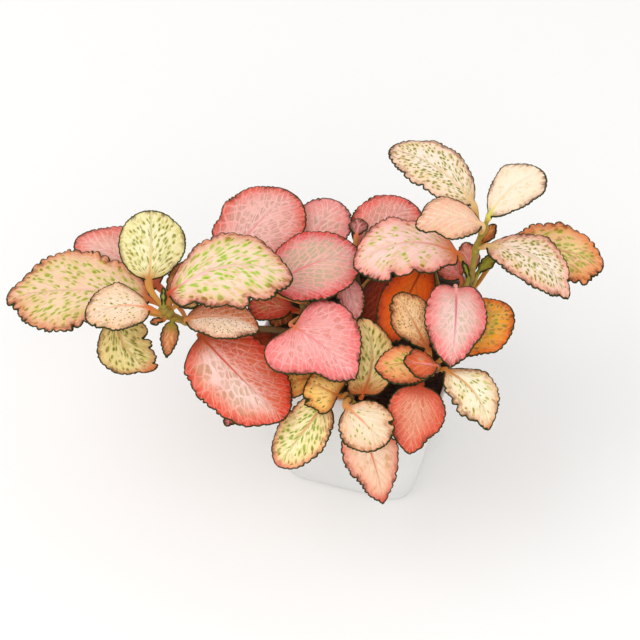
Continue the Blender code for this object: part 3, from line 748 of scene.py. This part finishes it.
def stalk_sheets(leaf, turn, v):
    """The points of the stalk's upper and lower face."""
    above, below = [], []
    for step, (place, side, ahead) in enumerate(stalk_centres(leaf, turn)):
        lift = np.cross(ahead, side)
        wide = STALK_HALF_WIDTH + (wing_width(leaf) - STALK_HALF_WIDTH) * (step / STALK_ROWS) ** 2
        flat = place[None, :] + side[None, :] * (wide * v)[:, None]
        raised = lift[None, :] * (STALK_HALF_DEPTH * np.sqrt(np.clip(1 - v ** 2, 0, 1)))[:, None]
        above.append(flat + raised)
        below.append(flat - raised)
    return np.array(above), np.array(below)


def leaf_faces(index_top, index_low):
    """The faces of both sides and of both ends."""
    faces = sheet_faces(index_top, TURNED) + sheet_faces(index_low, OUTWARD)
    for row, order in ((0, 1), (-1, -1)):
        for j in range(index_top.shape[1] - 1):
            ring = [index_top[row, j], index_top[row, j + 1], index_low[row, j + 1],
                    index_low[row, j]]
            ring = [int(i) for k, i in enumerate(ring) if i not in ring[:k]]
            faces.append(ring[::order])
    return faces


def make_leaf(leaf):
    rng = seeded(leaf.name)
    rows = max(16, int(leaf.length / ROW_STEP))
    columns = 2 * max(5, int(leaf.width / COLUMN_STEP / 2))
    t = np.linspace(0.0, 1.0, rows + 1)
    u_row = 0.6 * t + 0.4 * (0.5 - 0.5 * np.cos(math.pi * t))
    v_row = np.sin(math.pi / 2 * np.linspace(-1.0, 1.0, columns + 1))
    v = v_row[None, :]
    x, y, y_cut = blade_plan(leaf, u_row, v, rng)
    u = u_row[:, None] + 0 * v
    v = v + 0 * u
    across = np.abs(y_cut)
    vein_a, vein_b = (values / MM for values in vein_place(x, y_cut, leaf.width * MM / 2))
    z = blade_height(leaf, u, v, y, across, vein_a, rng)
    turn = leaf_turn(leaf)
    top, low = (
        np.concatenate(sheets)
        for sheets in zip(stalk_sheets(leaf, turn, v_row),
                          blade_sheets(leaf, x, y_cut, z, u, v, across))
    )

    # The lower face shares the points of its two edges with the upper one.
    total = top.shape[0] * top.shape[1]
    index_top = np.arange(total).reshape(top.shape[:2])
    index_low = index_top + total
    index_low[:, 0] = index_top[:, 0]
    index_low[:, -1] = index_top[:, -1]
    points = np.concatenate([top.reshape(-1, 3), low.reshape(-1, 3)])
    points = points @ turn.T + np.array(leaf.base) * MM
    used = np.unique(np.concatenate([index_top.ravel(), index_low.ravel()]))
    renumber = np.full(2 * total, -1)
    renumber[used] = np.arange(len(used))
    faces = [[int(renumber[i]) for i in face] for face in leaf_faces(index_top, index_low)]

    def spread(values, on_stalk):
        """Values of the blade's points, for all of the leaf's points."""
        stalk = np.full((STALK_ROWS, columns + 1), on_stalk)
        both = np.concatenate([stalk, values]).ravel()
        return np.concatenate([both, both])[used]

    pattern = np.where(v > 0, 0.0, RIGHT_SEED) + rng.uniform(0, SEED_SPAN)
    along_stalk = np.repeat(np.linspace(-1.0, 0.0, STALK_ROWS)[:, None], columns + 1, axis=1)
    shown = np.concatenate([np.ones(total), np.zeros(total)])[used]
    stand_in(
        leaf.name, "_blade", points[used].tolist(), faces, leaf_material(leaf),
        vein_map=np.stack([spread(vein_a, 0.0), spread(vein_b, 0.0), spread(pattern, 0.0)], axis=-1),
        leaf_place=np.stack([spread(u, along_stalk), spread(v, 0.0), shown], axis=-1),
        margin=spread(edge_distance(x, y_cut) / MM, STALK_MARGIN),
        rib_gap=spread(across / MM, 0.0),
    )


# ---- materials

class Nodes:
    """Short names for making shader nodes. A socket, a number or a colour can be an input."""

    def __init__(self, name):
        self.material = bpy.data.materials.new(name)
        self.material.use_nodes = True
        self.tree = self.material.node_tree
        self.shader = self.tree.nodes["Principled BSDF"]

    def put(self, value, socket):
        if isinstance(value, bpy.types.NodeSocket):
            self.tree.links.new(value, socket)
        elif value is not None:
            socket.default_value = value

    def math(self, operation, a, b=None):
        node = self.tree.nodes.new("ShaderNodeMath")
        node.operation = operation
        for value, socket in zip((a, b), node.inputs):
            self.put(value, socket)
        return node.outputs[0]

    def times(self, a, b):
        return self.math("MULTIPLY", a, b)

    def plus(self, a, b):
        return self.math("ADD", a, b)

    def over(self, a, b):
        return self.math("DIVIDE", a, b)

    def minus(self, a, b):
        return self.math("SUBTRACT", a, b)

    def most(self, a, b):
        return self.math("MAXIMUM", a, b)

    def off_line(self, value):
        """The distance of a value to the nearest whole number."""
        return self.math("ABSOLUTE", self.minus(value, self.math("ROUND", value)))

    def step(self, value, low, high, start=0.0, end=1.0):
        """Rises smoothly from start to end while value goes from low to high."""
        node = self.tree.nodes.new("ShaderNodeMapRange")
        node.interpolation_type = "SMOOTHSTEP"
        for item, socket in zip((value, low, high, start, end), node.inputs):
            self.put(item, socket)
        return node.outputs[0]

    def mix(self, share, a, b):
        node = self.tree.nodes.new("ShaderNodeMix")
        node.data_type = "RGBA"
        node.clamp_factor = True
        self.put(share, node.inputs[0])
        for value, socket in ((a, node.inputs[6]), (b, node.inputs[7])):
            self.put((*linear(value), 1.0) if isinstance(value, tuple) else value, socket)
        return node.outputs[2]

    def attribute(self, name):
        node = self.tree.nodes.new("ShaderNodeAttribute")
        node.attribute_name = name
        return node

    def split(self, vector):
        node = self.tree.nodes.new("ShaderNodeSeparateXYZ")
        self.put(vector, node.inputs[0])
        return node.outputs

    def join(self, x, y, z):
        node = self.tree.nodes.new("ShaderNodeCombineXYZ")
        for value, socket in zip((x, y, z), node.inputs):
            self.put(value, socket)
        return node.outputs[0]

    def noise(self, vector, scale, detail=2.0):
        node = self.tree.nodes.new("ShaderNodeTexNoise")
        self.put(vector, node.inputs["Vector"])
        self.put(scale, node.inputs["Scale"])
        self.put(detail, node.inputs["Detail"])
        return node.outputs["Fac"]

    def cells(self, x, y, seed, feature="F1"):
        """Irregular cells of about one unit in the plane of x and y."""
        node = self.tree.nodes.new("ShaderNodeTexVoronoi")
        node.voronoi_dimensions = "2D"
        node.feature = feature
        self.put(self.join(self.plus(x, seed), self.plus(y, seed), 0.0), node.inputs["Vector"])
        node.inputs["Scale"].default_value = 1.0
        return node.outputs

    def shaken(self, value, vector, scale, size):
        """A value moved up and down by a smooth noise of that scale and size."""
        return self.plus(value, self.times(self.minus(self.noise(vector, scale), 0.5), size))

    def bump(self, height, strength, distance):
        node = self.tree.nodes.new("ShaderNodeBump")
        self.put(height, node.inputs["Height"])
        self.put(strength, node.inputs["Strength"])
        self.put(distance, node.inputs["Distance"])
        self.put(node.outputs[0], self.shader.inputs["Normal"])

    def object_place(self):
        return self.tree.nodes.new("ShaderNodeTexCoord").outputs["Object"]

    def finish(self, colour, roughness):
        self.put(colour, self.shader.inputs["Base Color"])
        self.put(roughness, self.shader.inputs["Roughness"])
        return self.material


def leaf_material(leaf):
    look = look_of(leaf)
    n = Nodes("leaf_" + leaf.name)
    vein_map = n.attribute("vein_map").outputs["Vector"]
    a, b, seed = n.split(vein_map)
    along, side, top = n.split(n.attribute("leaf_place").outputs["Vector"])
    margin = n.attribute("margin").outputs["Fac"]
    rib_gap = n.attribute("rib_gap").outputs["Fac"]

    # The map of veins, slightly shaken, so that no vein is straight.
    a = n.shaken(a, vein_map, 0.13, 2.6)
    a = n.shaken(a, vein_map, 0.55, 0.55)
    b = n.shaken(b, n.join(seed, a, b), 0.35, 1.6)
    run = n.plus(b, n.times(n.most(a, 0.0), VEIN_SHEAR))
    x = n.over(a, look.cell[0])
    y = n.over(run, look.cell[1])
    net_gap = n.cells(x, y, seed, "DISTANCE_TO_EDGE")["Distance"]
    net = n.step(net_gap, 0.02, 0.13, 1.0, 0.0)
    pick_one, pick_two, _ = n.split(n.cells(x, y, seed)["Color"])
    fine_gap = n.cells(n.times(x, 2.3), n.times(y, 2.6), seed, "DISTANCE_TO_EDGE")["Distance"]
    fine_net = n.step(fine_gap, 0.03, 0.18, 1.0, 0.0)

    # Side veins, then the midrib.
    side_gap = n.times(n.off_line(n.over(a, SIDE_VEIN_STEP)), SIDE_VEIN_STEP)
    side_width = n.step(b, 0.0, 24.0, 0.44, 0.20)
    side_vein = n.step(n.over(side_gap, side_width), 0.35, 1.0, 1.0, 0.0)
    lines = n.over(n.shaken(a, vein_map, 0.9, 0.5), FINE_VEIN_STEP)
    fine_line = n.times(n.step(n.off_line(lines), 0.05, 0.20, 1.0, 0.0),
                        n.step(n.noise(vein_map, 0.8), 0.42, 0.58))
    rib_width = n.step(along, 0.0, 1.0, 0.75, 0.15)
    rib = n.step(n.over(rib_gap, rib_width), 0.4, 1.1, 1.0, 0.0)
    veins = side_vein
    for lines, strength in ((net, 0.75), (fine_net, 0.3), (fine_line, 0.6)):
        veins = n.most(veins, n.times(lines, strength))

    # The blade between the veins, from its middle out to its margin.
    patch = n.noise(vein_map, 0.14, 3.0)
    inner = n.step(n.shaken(margin, vein_map, 0.25, 4.0), look.flush * 0.5, look.flush + 5.0)
    colour = n.mix(inner, look.mid, look.core)
    island = n.step(net_gap, 0.04, 0.20)
    zone = n.times(n.step(patch, 0.30, 0.55, 0.35, 1.0),
                   n.step(margin, look.flush * 0.3, look.flush, 0.35, 1.0))
    shown = n.math("LESS_THAN", pick_one, n.times(zone, look.areoles))
    depth = n.plus(n.times(pick_two, 0.5), 0.5)
    areole = n.times(n.times(island, shown), depth)
    colour = n.mix(n.times(areole, 0.8), colour, look.areole)
    near_rib = n.step(rib_gap, 0.0, 6.0, 1.0, 0.7)
    colour = n.mix(n.times(n.times(veins, near_rib), look.net), colour, look.vein)

    # Green specks along the side veins, browner towards the margin.
    if look.specks > 0:
        spots = n.cells(n.over(a, look.cell[0] * 1.05), n.over(run, look.cell[1] * 1.15),
                        n.plus(seed, 3.3))
        chance, big, deep = n.split(spots["Color"])
        frayed = n.shaken(spots["Distance"], vein_map, 1.1, 0.20)
        frayed = n.over(frayed, n.plus(n.times(big, 0.5), 0.65))
        zone = n.times(n.step(patch, 0.30, 0.50, 0.5, 1.0), n.step(margin, 0.6, 3.2))
        shown = n.math("LESS_THAN", chance, n.times(zone, look.specks))
        shown = n.times(shown, n.plus(n.times(deep, 0.4), 0.6))
        browner = n.mix(n.step(margin, 1.5, 6.0), SPECK_NEAR_EDGE, look.speck)
        size = look.speck_size
        halo = n.step(frayed, 0.35 * size, 0.95 * size, 0.7, 0.0)
        colour = n.mix(n.times(halo, shown), colour, n.mix(0.65, browner, HALO_COLOUR))
        spot = n.step(frayed, 0.26 * size, 0.52 * size, 0.95, 0.0)
        colour = n.mix(n.times(spot, shown), colour, browner)
    if look.dots > 0:
        dot_map = n.cells(n.times(a, 1.1), n.times(run, 0.8), seed)
        shown = n.math("LESS_THAN", n.split(dot_map["Color"])[0], look.dots)
        dot = n.times(n.step(dot_map["Distance"], 0.14, 0.30, 1.0, 0.0), shown)
        colour = n.mix(n.times(dot, 0.8), colour, DOT_COLOUR)

    # The tints of one half, the margin, the tip, the foot and the midrib.
    if look.half_share:
        half = n.step(n.shaken(side, vein_map, 0.2, 0.3), -0.05, 0.18, 0.0, look.half_share)
        half = n.times(half, n.minus(1.0, n.times(veins, 0.5)))
        colour = n.mix(half, colour, look.half)
    uneven = n.shaken(margin, vein_map, 0.5, 2.6)
    flush = n.step(uneven, -0.3, look.flush, 0.95, 0.0)
    flush = n.times(flush, n.minus(1.0, n.times(veins, 0.45)))
    colour = n.mix(flush, colour, look.edge)
    ragged = n.shaken(margin, vein_map, 0.8, 3.6)
    scorch = n.times(n.step(ragged, 0.2, 2.6, 1.0, 0.0), n.step(patch, 0.42, 0.58))
    colour = n.mix(n.times(scorch, 0.8), colour, SCORCH_COLOUR)
    if look.tip_reach:
        tip = n.step(n.shaken(along, vein_map, 0.3, 0.12), 1 - look.tip_reach, 1.0, 0.0, 0.9)
        colour = n.mix(tip, colour, look.tip)
    reach = n.plus(n.shaken(along, vein_map, 0.3, 0.08), n.times(rib_gap, 0.012))
    foot = n.step(reach, 0.0, look.foot_reach, 0.9, 0.0)
    colour = n.mix(foot, colour, look.foot)
    colour = n.mix(n.times(rib, n.step(along, 0.3, 0.9, 0.9, 0.25)), colour,
                   n.mix(n.step(along, 0.02, look.foot_reach + 0.1), look.foot, look.rib))
    cloud = n.noise(n.object_place(), 55.0, 3.0)
    colour = n.mix(n.step(cloud, 0.45, 0.75, 0.0, 0.16), colour, look.edge)

    # The underside, the dark rim and the stalk.
    under = n.mix(n.times(veins, 0.5), UNDER_COLOUR, look.vein)
    colour = n.mix(n.step(top, 0.3, 0.7), under, colour)
    rim = n.step(n.shaken(margin, vein_map, 1.3, 0.5), 0.36, 0.80, 1.0, 0.0)
    colour = n.mix(rim, colour, RIM_COLOUR)
    colour = n.mix(n.step(along, -0.25, 0.02, 1.0, 0.0), colour,
                   n.mix(0.5, STALK_COLOUR, look.foot))

    grain = n.noise(n.object_place(), 2600.0)
    height = n.minus(n.times(grain, 0.25), n.times(n.most(veins, rib), 0.8))
    n.bump(height, 0.5, 0.25 * MM)
    n.shader.inputs["Specular IOR Level"].default_value = 0.2
    return n.finish(colour, n.step(n.plus(veins, n.times(grain, 0.5)), 0.0, 1.5, 0.42, 0.6))


def stem_material():
    n = Nodes("stem_skin")
    place = n.object_place()
    streak = n.noise(place, 420.0, 3.0)
    mottle = n.noise(place, 90.0, 2.0)
    colour = n.mix(n.step(mottle, 0.35, 0.65), (.58, .53, .15), (.58, .42, .15))
    colour = n.mix(n.step(streak, 0.4, 0.75, 0.0, 0.6), colour, (.74, .68, .28))
    height = n.shaken(n.split(place)[2], place, 90.0, SHADE_SHAKE)
    # A painted shade turns the stems dark brown low down, under the crown.
    colour = n.mix(n.step(height, STEM_SHADE_LOW, STEM_SHADE_HIGH, 0.85, 0.0), colour, LOW_STEM_SHADE_COLOUR)
    n.bump(n.noise(place, 1500.0, 3.0), 0.4, 0.3 * MM)
    return n.finish(colour, n.step(streak, 0.3, 0.7, 0.5, 0.7))


def soil_material():
    n = Nodes("peat_soil")
    place = n.object_place()
    coarse = n.noise(place, 300.0, 4.0)
    fine = n.noise(place, 1400.0, 4.0)
    colour = n.mix(n.step(coarse, 0.35, 0.65), (.16, .09, .06), (.27, .17, .11))
    colour = n.mix(n.step(fine, 0.62, 0.75, 0.0, 0.7), colour, (.42, .30, .20))
    n.bump(n.plus(coarse, n.times(fine, 0.4)), 0.9, 1.2 * MM)
    return n.finish(colour, n.step(fine, 0.3, 0.7, 0.85, 1.0))


def pot_material():
    n = Nodes("pot_plastic")
    place = n.object_place()
    cloud = n.noise(place, 22.0, 3.0)
    x, y, z = n.split(place)
    scuff = n.noise(n.join(x, y, n.times(z, 6.0)), 60.0, 4.0)
    colour = n.mix(n.step(cloud, 0.35, 0.65), (.87, .87, .86), (.89, .89, .885))
    colour = n.mix(n.step(scuff, 0.66, 0.80, 0.0, 0.25), colour, (.84, .84, .825))
    # A painted shade darkens the inner wall just above the soil.
    height = n.shaken(z, place, 160.0, SHADE_SHAKE)
    inner_shade = n.step(height, SOIL_TOP + POT_WALL_SHADE_LOW, SOIL_TOP + POT_WALL_SHADE_HIGH, 0.9, 0.0)
    inner_shade = n.times(inner_shade, n.attribute("inner_wall").outputs["Fac"])
    colour = n.mix(inner_shade, colour, POT_WALL_SHADE_COLOUR)
    n.bump(n.noise(place, 2200.0, 3.0), 0.12, 0.1 * MM)
    return n.finish(colour, n.step(n.plus(cloud, n.times(scuff, 0.5)), 0.4, 1.1, 0.32, 0.48))


# ---- stems, soil and pot

STEM_SIDES = 16
STEM_STEPS = 14  # rings between two stops of a stem's route
STEM_SUNK = 2.0 * MM  # how far a stem goes on into the soil
NODE_SWELL = 0.28  # how much a stem thickens where a leaf leaves it
NODE_REACH = 1.6 * MM
RIPPLE = 0.04  # how much a stem's thickness goes up and down, as a share
RIPPLE_LENGTH = 2.3 * MM
TIP_TAPER = 0.55
TIP_DOME = 0.35  # the height of a stem's round tip, as a share of its radius


def make_stem(name):
    rng = seeded(name)
    route = smooth_route(STEM_ROUTES[name], STEM_STEPS)
    route = np.concatenate([[route[0] - (0, 0, STEM_SUNK)], route])
    run = np.concatenate([[0.0], np.cumsum(np.linalg.norm(np.diff(route, axis=0), axis=1))])
    stations = np.linspace(0.0, 1.0, len(route) - 1)
    radius = STEM_RADIUS * np.array([1.0, *(stem_share(s) for s in stations)])
    for leaf in LEAVES:
        if leaf.stem == name:
            at = np.interp(leaf.station, stations, run[1:])
            radius *= 1 + NODE_SWELL * np.exp(-((run - at) / NODE_REACH) ** 2)
    radius *= 1 + RIPPLE * np.sin(run / RIPPLE_LENGTH + rng.uniform(0, 6))
    radius[-1] *= TIP_TAPER
    side = Vector((1.0, 0.0, 0.0))
    before = Vector((0.0, 0.0, 1.0))
    points = []
    for i, place in enumerate(route):
        ahead = Vector(route[min(i + 1, len(route) - 1)] - route[max(i - 1, 0)]).normalized()
        side = before.rotation_difference(ahead) @ side
        before = ahead
        other = ahead.cross(side)
        for k in range(STEM_SIDES):
            angle = 2 * math.pi * k / STEM_SIDES
            out = side * math.cos(angle) + other * math.sin(angle)
            points.append(Vector(place) + out * float(radius[i]))
    faces = tube_faces(len(route), STEM_SIDES)
    faces.append(tuple(reversed(range(STEM_SIDES))))
    tip = len(points)
    points.append(Vector(route[-1]) + before * STEM_RADIUS * TIP_DOME)
    last = tip - STEM_SIDES
    for k in range(STEM_SIDES):
        faces.append((last + k, last + (k + 1) % STEM_SIDES, tip))
    stand_in(name, "_skin", points, faces, STEM_LOOK)


POT_TOP = 82 * MM  # outer width at the rim
POT_FOOT = 57.5 * MM
POT_HEIGHT = 80 * MM
POT_WALL = 1.6 * MM
POT_CORNER = 10 * MM
POT_CORNER_STEPS = 14
POT_FOOT_EDGE = 1.5 * MM
POT_RIM_LIFT = 0.2 * MM  # how far the rim stands above the frame's
POT_FLAT_INSET = 6 * MM  # how far inside the pot's outline the flat of its foot starts
POT_FLAT_CORNER = 5 * MM  # the corner radius of that flat
POT_FOOT_STEPS = 5
POT_WALL_STEPS = 14
POT_RIM_STEPS = 12
POT_SIDE_STEPS = 10
SOIL_TOP = 71 * MM


def square_ring(half, corner, height):
    """A square with round corners, as a ring of points."""
    flat = half - corner
    local = [(half, -flat + 2 * flat * k / POT_SIDE_STEPS) for k in range(POT_SIDE_STEPS)]
    for k in range(POT_CORNER_STEPS):
        angle = math.pi / 2 * k / POT_CORNER_STEPS
        local.append((flat + corner * math.cos(angle), flat + corner * math.sin(angle)))
    points = []
    for quarter in range(4):
        turn = quarter * math.pi / 2
        c, s = math.cos(turn), math.sin(turn)
        points += [(x * c - y * s, x * s + y * c, height) for x, y in local]
    return points


def pot_half(height):
    return (POT_FOOT + (POT_TOP - POT_FOOT) * height / POT_HEIGHT) / 2


def make_pot():
    rounding = POT_WALL / 2
    top = POT_HEIGHT + POT_RIM_LIFT
    floor = 3 * POT_WALL
    profile = [(pot_half(0) - POT_FLAT_INSET, POT_FLAT_CORNER, 0.0)]

    def ring(inset, height, at=None):
        half = pot_half(height) if at is None else at
        profile.append((half - inset, POT_CORNER - inset, height))

    for k in range(POT_FOOT_STEPS + 1):
        angle = math.pi / 2 * k / POT_FOOT_STEPS
        ring(POT_FOOT_EDGE * (1 - math.sin(angle)), POT_FOOT_EDGE * (1 - math.cos(angle)))
    for k in range(1, POT_WALL_STEPS + 1):
        ring(0.0, POT_FOOT_EDGE + (top - rounding - POT_FOOT_EDGE) * k / POT_WALL_STEPS)
    for k in range(1, POT_RIM_STEPS):
        angle = math.pi * k / POT_RIM_STEPS
        ring(rounding * (1 - math.cos(angle)), top - rounding + rounding * math.sin(angle),
             pot_half(top - rounding))
    first_inner = len(profile)
    for k in range(POT_WALL_STEPS + 1):
        ring(POT_WALL, top - rounding - (top - rounding - floor) * k / POT_WALL_STEPS)
    for k in range(1, POT_FOOT_STEPS + 1):
        angle = math.pi / 2 * k / POT_FOOT_STEPS
        ring(POT_WALL + 2 * POT_WALL * (1 - math.cos(angle)), floor - 2 * POT_WALL * math.sin(angle))
    points = [p for shape in profile for p in square_ring(*shape)]
    rings = len(profile)
    count = len(points) // rings
    faces = [tuple(reversed(range(count))), *tube_faces(rings, count),
             tuple(range((rings - 1) * count, rings * count))]
    inner = np.repeat(np.arange(rings) >= first_inner, count)
    stand_in("pot", "_shell", points, faces, pot_material(), inner_wall=inner.astype(float))


SOIL_RINGS = 46
SOIL_CLEARANCE = 0.3 * MM  # between the soil and the pot's wall
SOIL_DIP = 0.4 * MM  # how far the soil's heaps lie below its level, on average
SOIL_DROPS = (2, 8, 30, 66)  # the rings of its side, below its level (mm)
# The soil's heaps and grains: length and height of each set of waves, in millimetres.
SOIL_WAVES = ((30, 0.5), (22, 0.4), (13, 0.25), (8, 0.2), (5, 0.16), (3.4, 0.14), (2.6, 0.12),
              (2.0, 0.10))
CRUMBS = 420
CRUMB_INSET = 2.5 * MM  # crumbs stay this far from the wall, and from its corners by the next
CRUMB_CORNER_INSET = 2 * MM
CRUMB_SIZES = (0.5, 1.7)  # in millimetres, times a second random share
CRUMB_SHARES = (0.5, 1)
CRUMB_STRETCH = (0.6, 1.3)
CRUMB_FLATNESS = (1, 1, 0.7)
CRUMB_LUMPS = 0.22
CRUMB_RISE = 0.15  # how far a crumb's middle stands above the soil, as a share of its size


def soil_level(x, y, waves):
    """The height of the soil's surface, with its low heaps and small grains."""
    height = 0.0
    for kx, ky, phase, size in waves:
        height = height + size * np.sin(kx * x + ky * y + phase)
    return SOIL_TOP - SOIL_DIP + height


def soil_half(height):
    return pot_half(height) - POT_WALL - SOIL_CLEARANCE


def make_soil():
    rng = seeded("soil")
    waves = [
        (rng.normal(0, 1) * 2 * math.pi / (pitch * MM), rng.normal(0, 1) * 2 * math.pi / (pitch * MM),
         rng.uniform(0, 2 * math.pi), size * MM)
        for pitch, size in SOIL_WAVES
    ]
    half = soil_half(SOIL_TOP)
    corner = POT_CORNER - POT_WALL
    ring = np.array(square_ring(half, corner, 0.0))[:, :2]
    count = len(ring)
    points = []
    for i in range(1, SOIL_RINGS + 1):
        xy = ring * (i / SOIL_RINGS)
        points += [(x, y, h) for (x, y), h in zip(xy, soil_level(xy[:, 0], xy[:, 1], waves))]
    for drop in SOIL_DROPS:
        shrink = soil_half(SOIL_TOP - drop * MM) / half
        points += [(x * shrink, y * shrink, SOIL_TOP - drop * MM) for x, y in ring]
    centre = len(points)
    points.append((0.0, 0.0, float(soil_level(0.0, 0.0, waves))))
    faces = [(centre, k, (k + 1) % count) for k in range(count)]
    faces += tube_faces(centre // count, count, TURNED)
    faces.append(tuple(reversed(range(centre - count, centre))))

    ball_points, ball_faces = ball()
    for _ in range(CRUMBS):
        x, y = rng.uniform(-1, 1, 2) * (half - CRUMB_INSET)
        past_x, past_y = (max(abs(value) - half + corner, 0) for value in (x, y))
        if np.hypot(past_x, past_y) > corner - CRUMB_CORNER_INSET:
            continue
        size = MM * rng.uniform(*CRUMB_SIZES) * rng.uniform(*CRUMB_SHARES)
        stretch = rng.uniform(*CRUMB_STRETCH, 3) * CRUMB_FLATNESS
        turn = np.array(Euler(rng.uniform(0, 6.28, 3), "XYZ").to_matrix())
        lumps = 1 + rng.uniform(-CRUMB_LUMPS, CRUMB_LUMPS, len(ball_points))
        spots = (ball_points * lumps[:, None] * stretch * size) @ turn.T
        z = float(soil_level(x, y, waves)) + size * CRUMB_RISE
        first = len(points)
        points += [tuple(p) for p in spots + (x, y, z)]
        faces += [tuple(first + i for i in face) for face in ball_faces]
    stand_in("soil", "_fill", points, faces, soil_material())


def ball():
    """A small round body of 42 points, as the start of a crumb."""
    bm = bmesh.new()
    bmesh.ops.create_icosphere(bm, subdivisions=2, radius=1.0)
    points = np.array([v.co for v in bm.verts])
    faces = [tuple(v.index for v in face.verts) for face in bm.faces]
    bm.free()
    return points, faces


# ---- floor, light and camera

FLOOR_HALF = 3.0
CAMERA_TARGET = Vector((-18.5, -4.4, 82.8)) * MM
CAMERA_AZIMUTH = math.radians(16.5)  # to the right of straight in front
CAMERA_HEIGHT_ANGLE = math.radians(50.3)
CAMERA_DISTANCE = 0.9
CAMERA_LENS = 120.5
SENSOR_WIDTH = 36.0
CLIP_START = 0.02
LIGHT_COLOUR = (1.0, 0.985, 0.965)
SKY_STRENGTH = 0.84
KEY_POWER = 6.5
KEY_SIZE = 1.3
KEY_PLACE = Vector((-0.75, -0.55, 1.35))
FILL_POWER = 2.6
FILL_SIZE = 0.9
FILL_PLACE = Vector((0.35, -0.85, 0.95))


def make_stage():
    h = FLOOR_HALF
    floor = mesh_object("floor", [(-h, -h, 0), (h, -h, 0), (h, h, 0), (-h, h, 0)], [(0, 1, 2, 3)])
    n = Nodes("studio_floor")
    cloud = n.noise(n.object_place(), 3.0, 3.0)
    colour = n.mix(cloud, (.965, .965, .96), (.975, .975, .97))
    floor.data.materials.append(n.finish(colour, n.step(cloud, 0.3, 0.7, 0.75, 0.85)))

    world = bpy.data.worlds.new("studio")
    world.use_nodes = True
    world.node_tree.nodes["Background"].inputs[0].default_value = (1, 1, 1, 1)
    world.node_tree.nodes["Background"].inputs[1].default_value = SKY_STRENGTH
    bpy.context.scene.world = world

    for name, place, size, power in (("soft_key", KEY_PLACE, KEY_SIZE, KEY_POWER),
                                     ("soft_fill", FILL_PLACE, FILL_SIZE, FILL_POWER)):
        light = bpy.data.lights.new(name, "AREA")
        light.shape = "DISK"
        light.size = size
        light.energy = power
        light.color = LIGHT_COLOUR
        lamp = bpy.data.objects.new(name, light)
        lamp.location = place
        lamp.rotation_euler = (CAMERA_TARGET - place).to_track_quat("-Z", "Y").to_euler()
        bpy.context.scene.collection.objects.link(lamp)


def make_camera():
    flat = math.cos(CAMERA_HEIGHT_ANGLE) * CAMERA_DISTANCE
    place = CAMERA_TARGET + Vector((
        flat * math.sin(CAMERA_AZIMUTH),
        -flat * math.cos(CAMERA_AZIMUTH),
        math.sin(CAMERA_HEIGHT_ANGLE) * CAMERA_DISTANCE,
    ))
    data = bpy.data.cameras.new("camera")
    data.lens = CAMERA_LENS
    data.sensor_width = SENSOR_WIDTH
    data.clip_start = CLIP_START
    camera = bpy.data.objects.new("camera", data)
    camera.location = place
    camera.rotation_euler = (CAMERA_TARGET - place).to_track_quat("-Z", "Y").to_euler()
    bpy.context.scene.collection.objects.link(camera)
    bpy.context.scene.camera = camera


STEM_LOOK = stem_material()

make_camera()
make_stage()
for one_leaf in LEAVES:
    make_leaf(one_leaf)
for stem_name in STEM_ROUTES:
    make_stem(stem_name)
make_soil()
make_pot()
bpy.context.scene.view_settings.view_transform = "Standard"
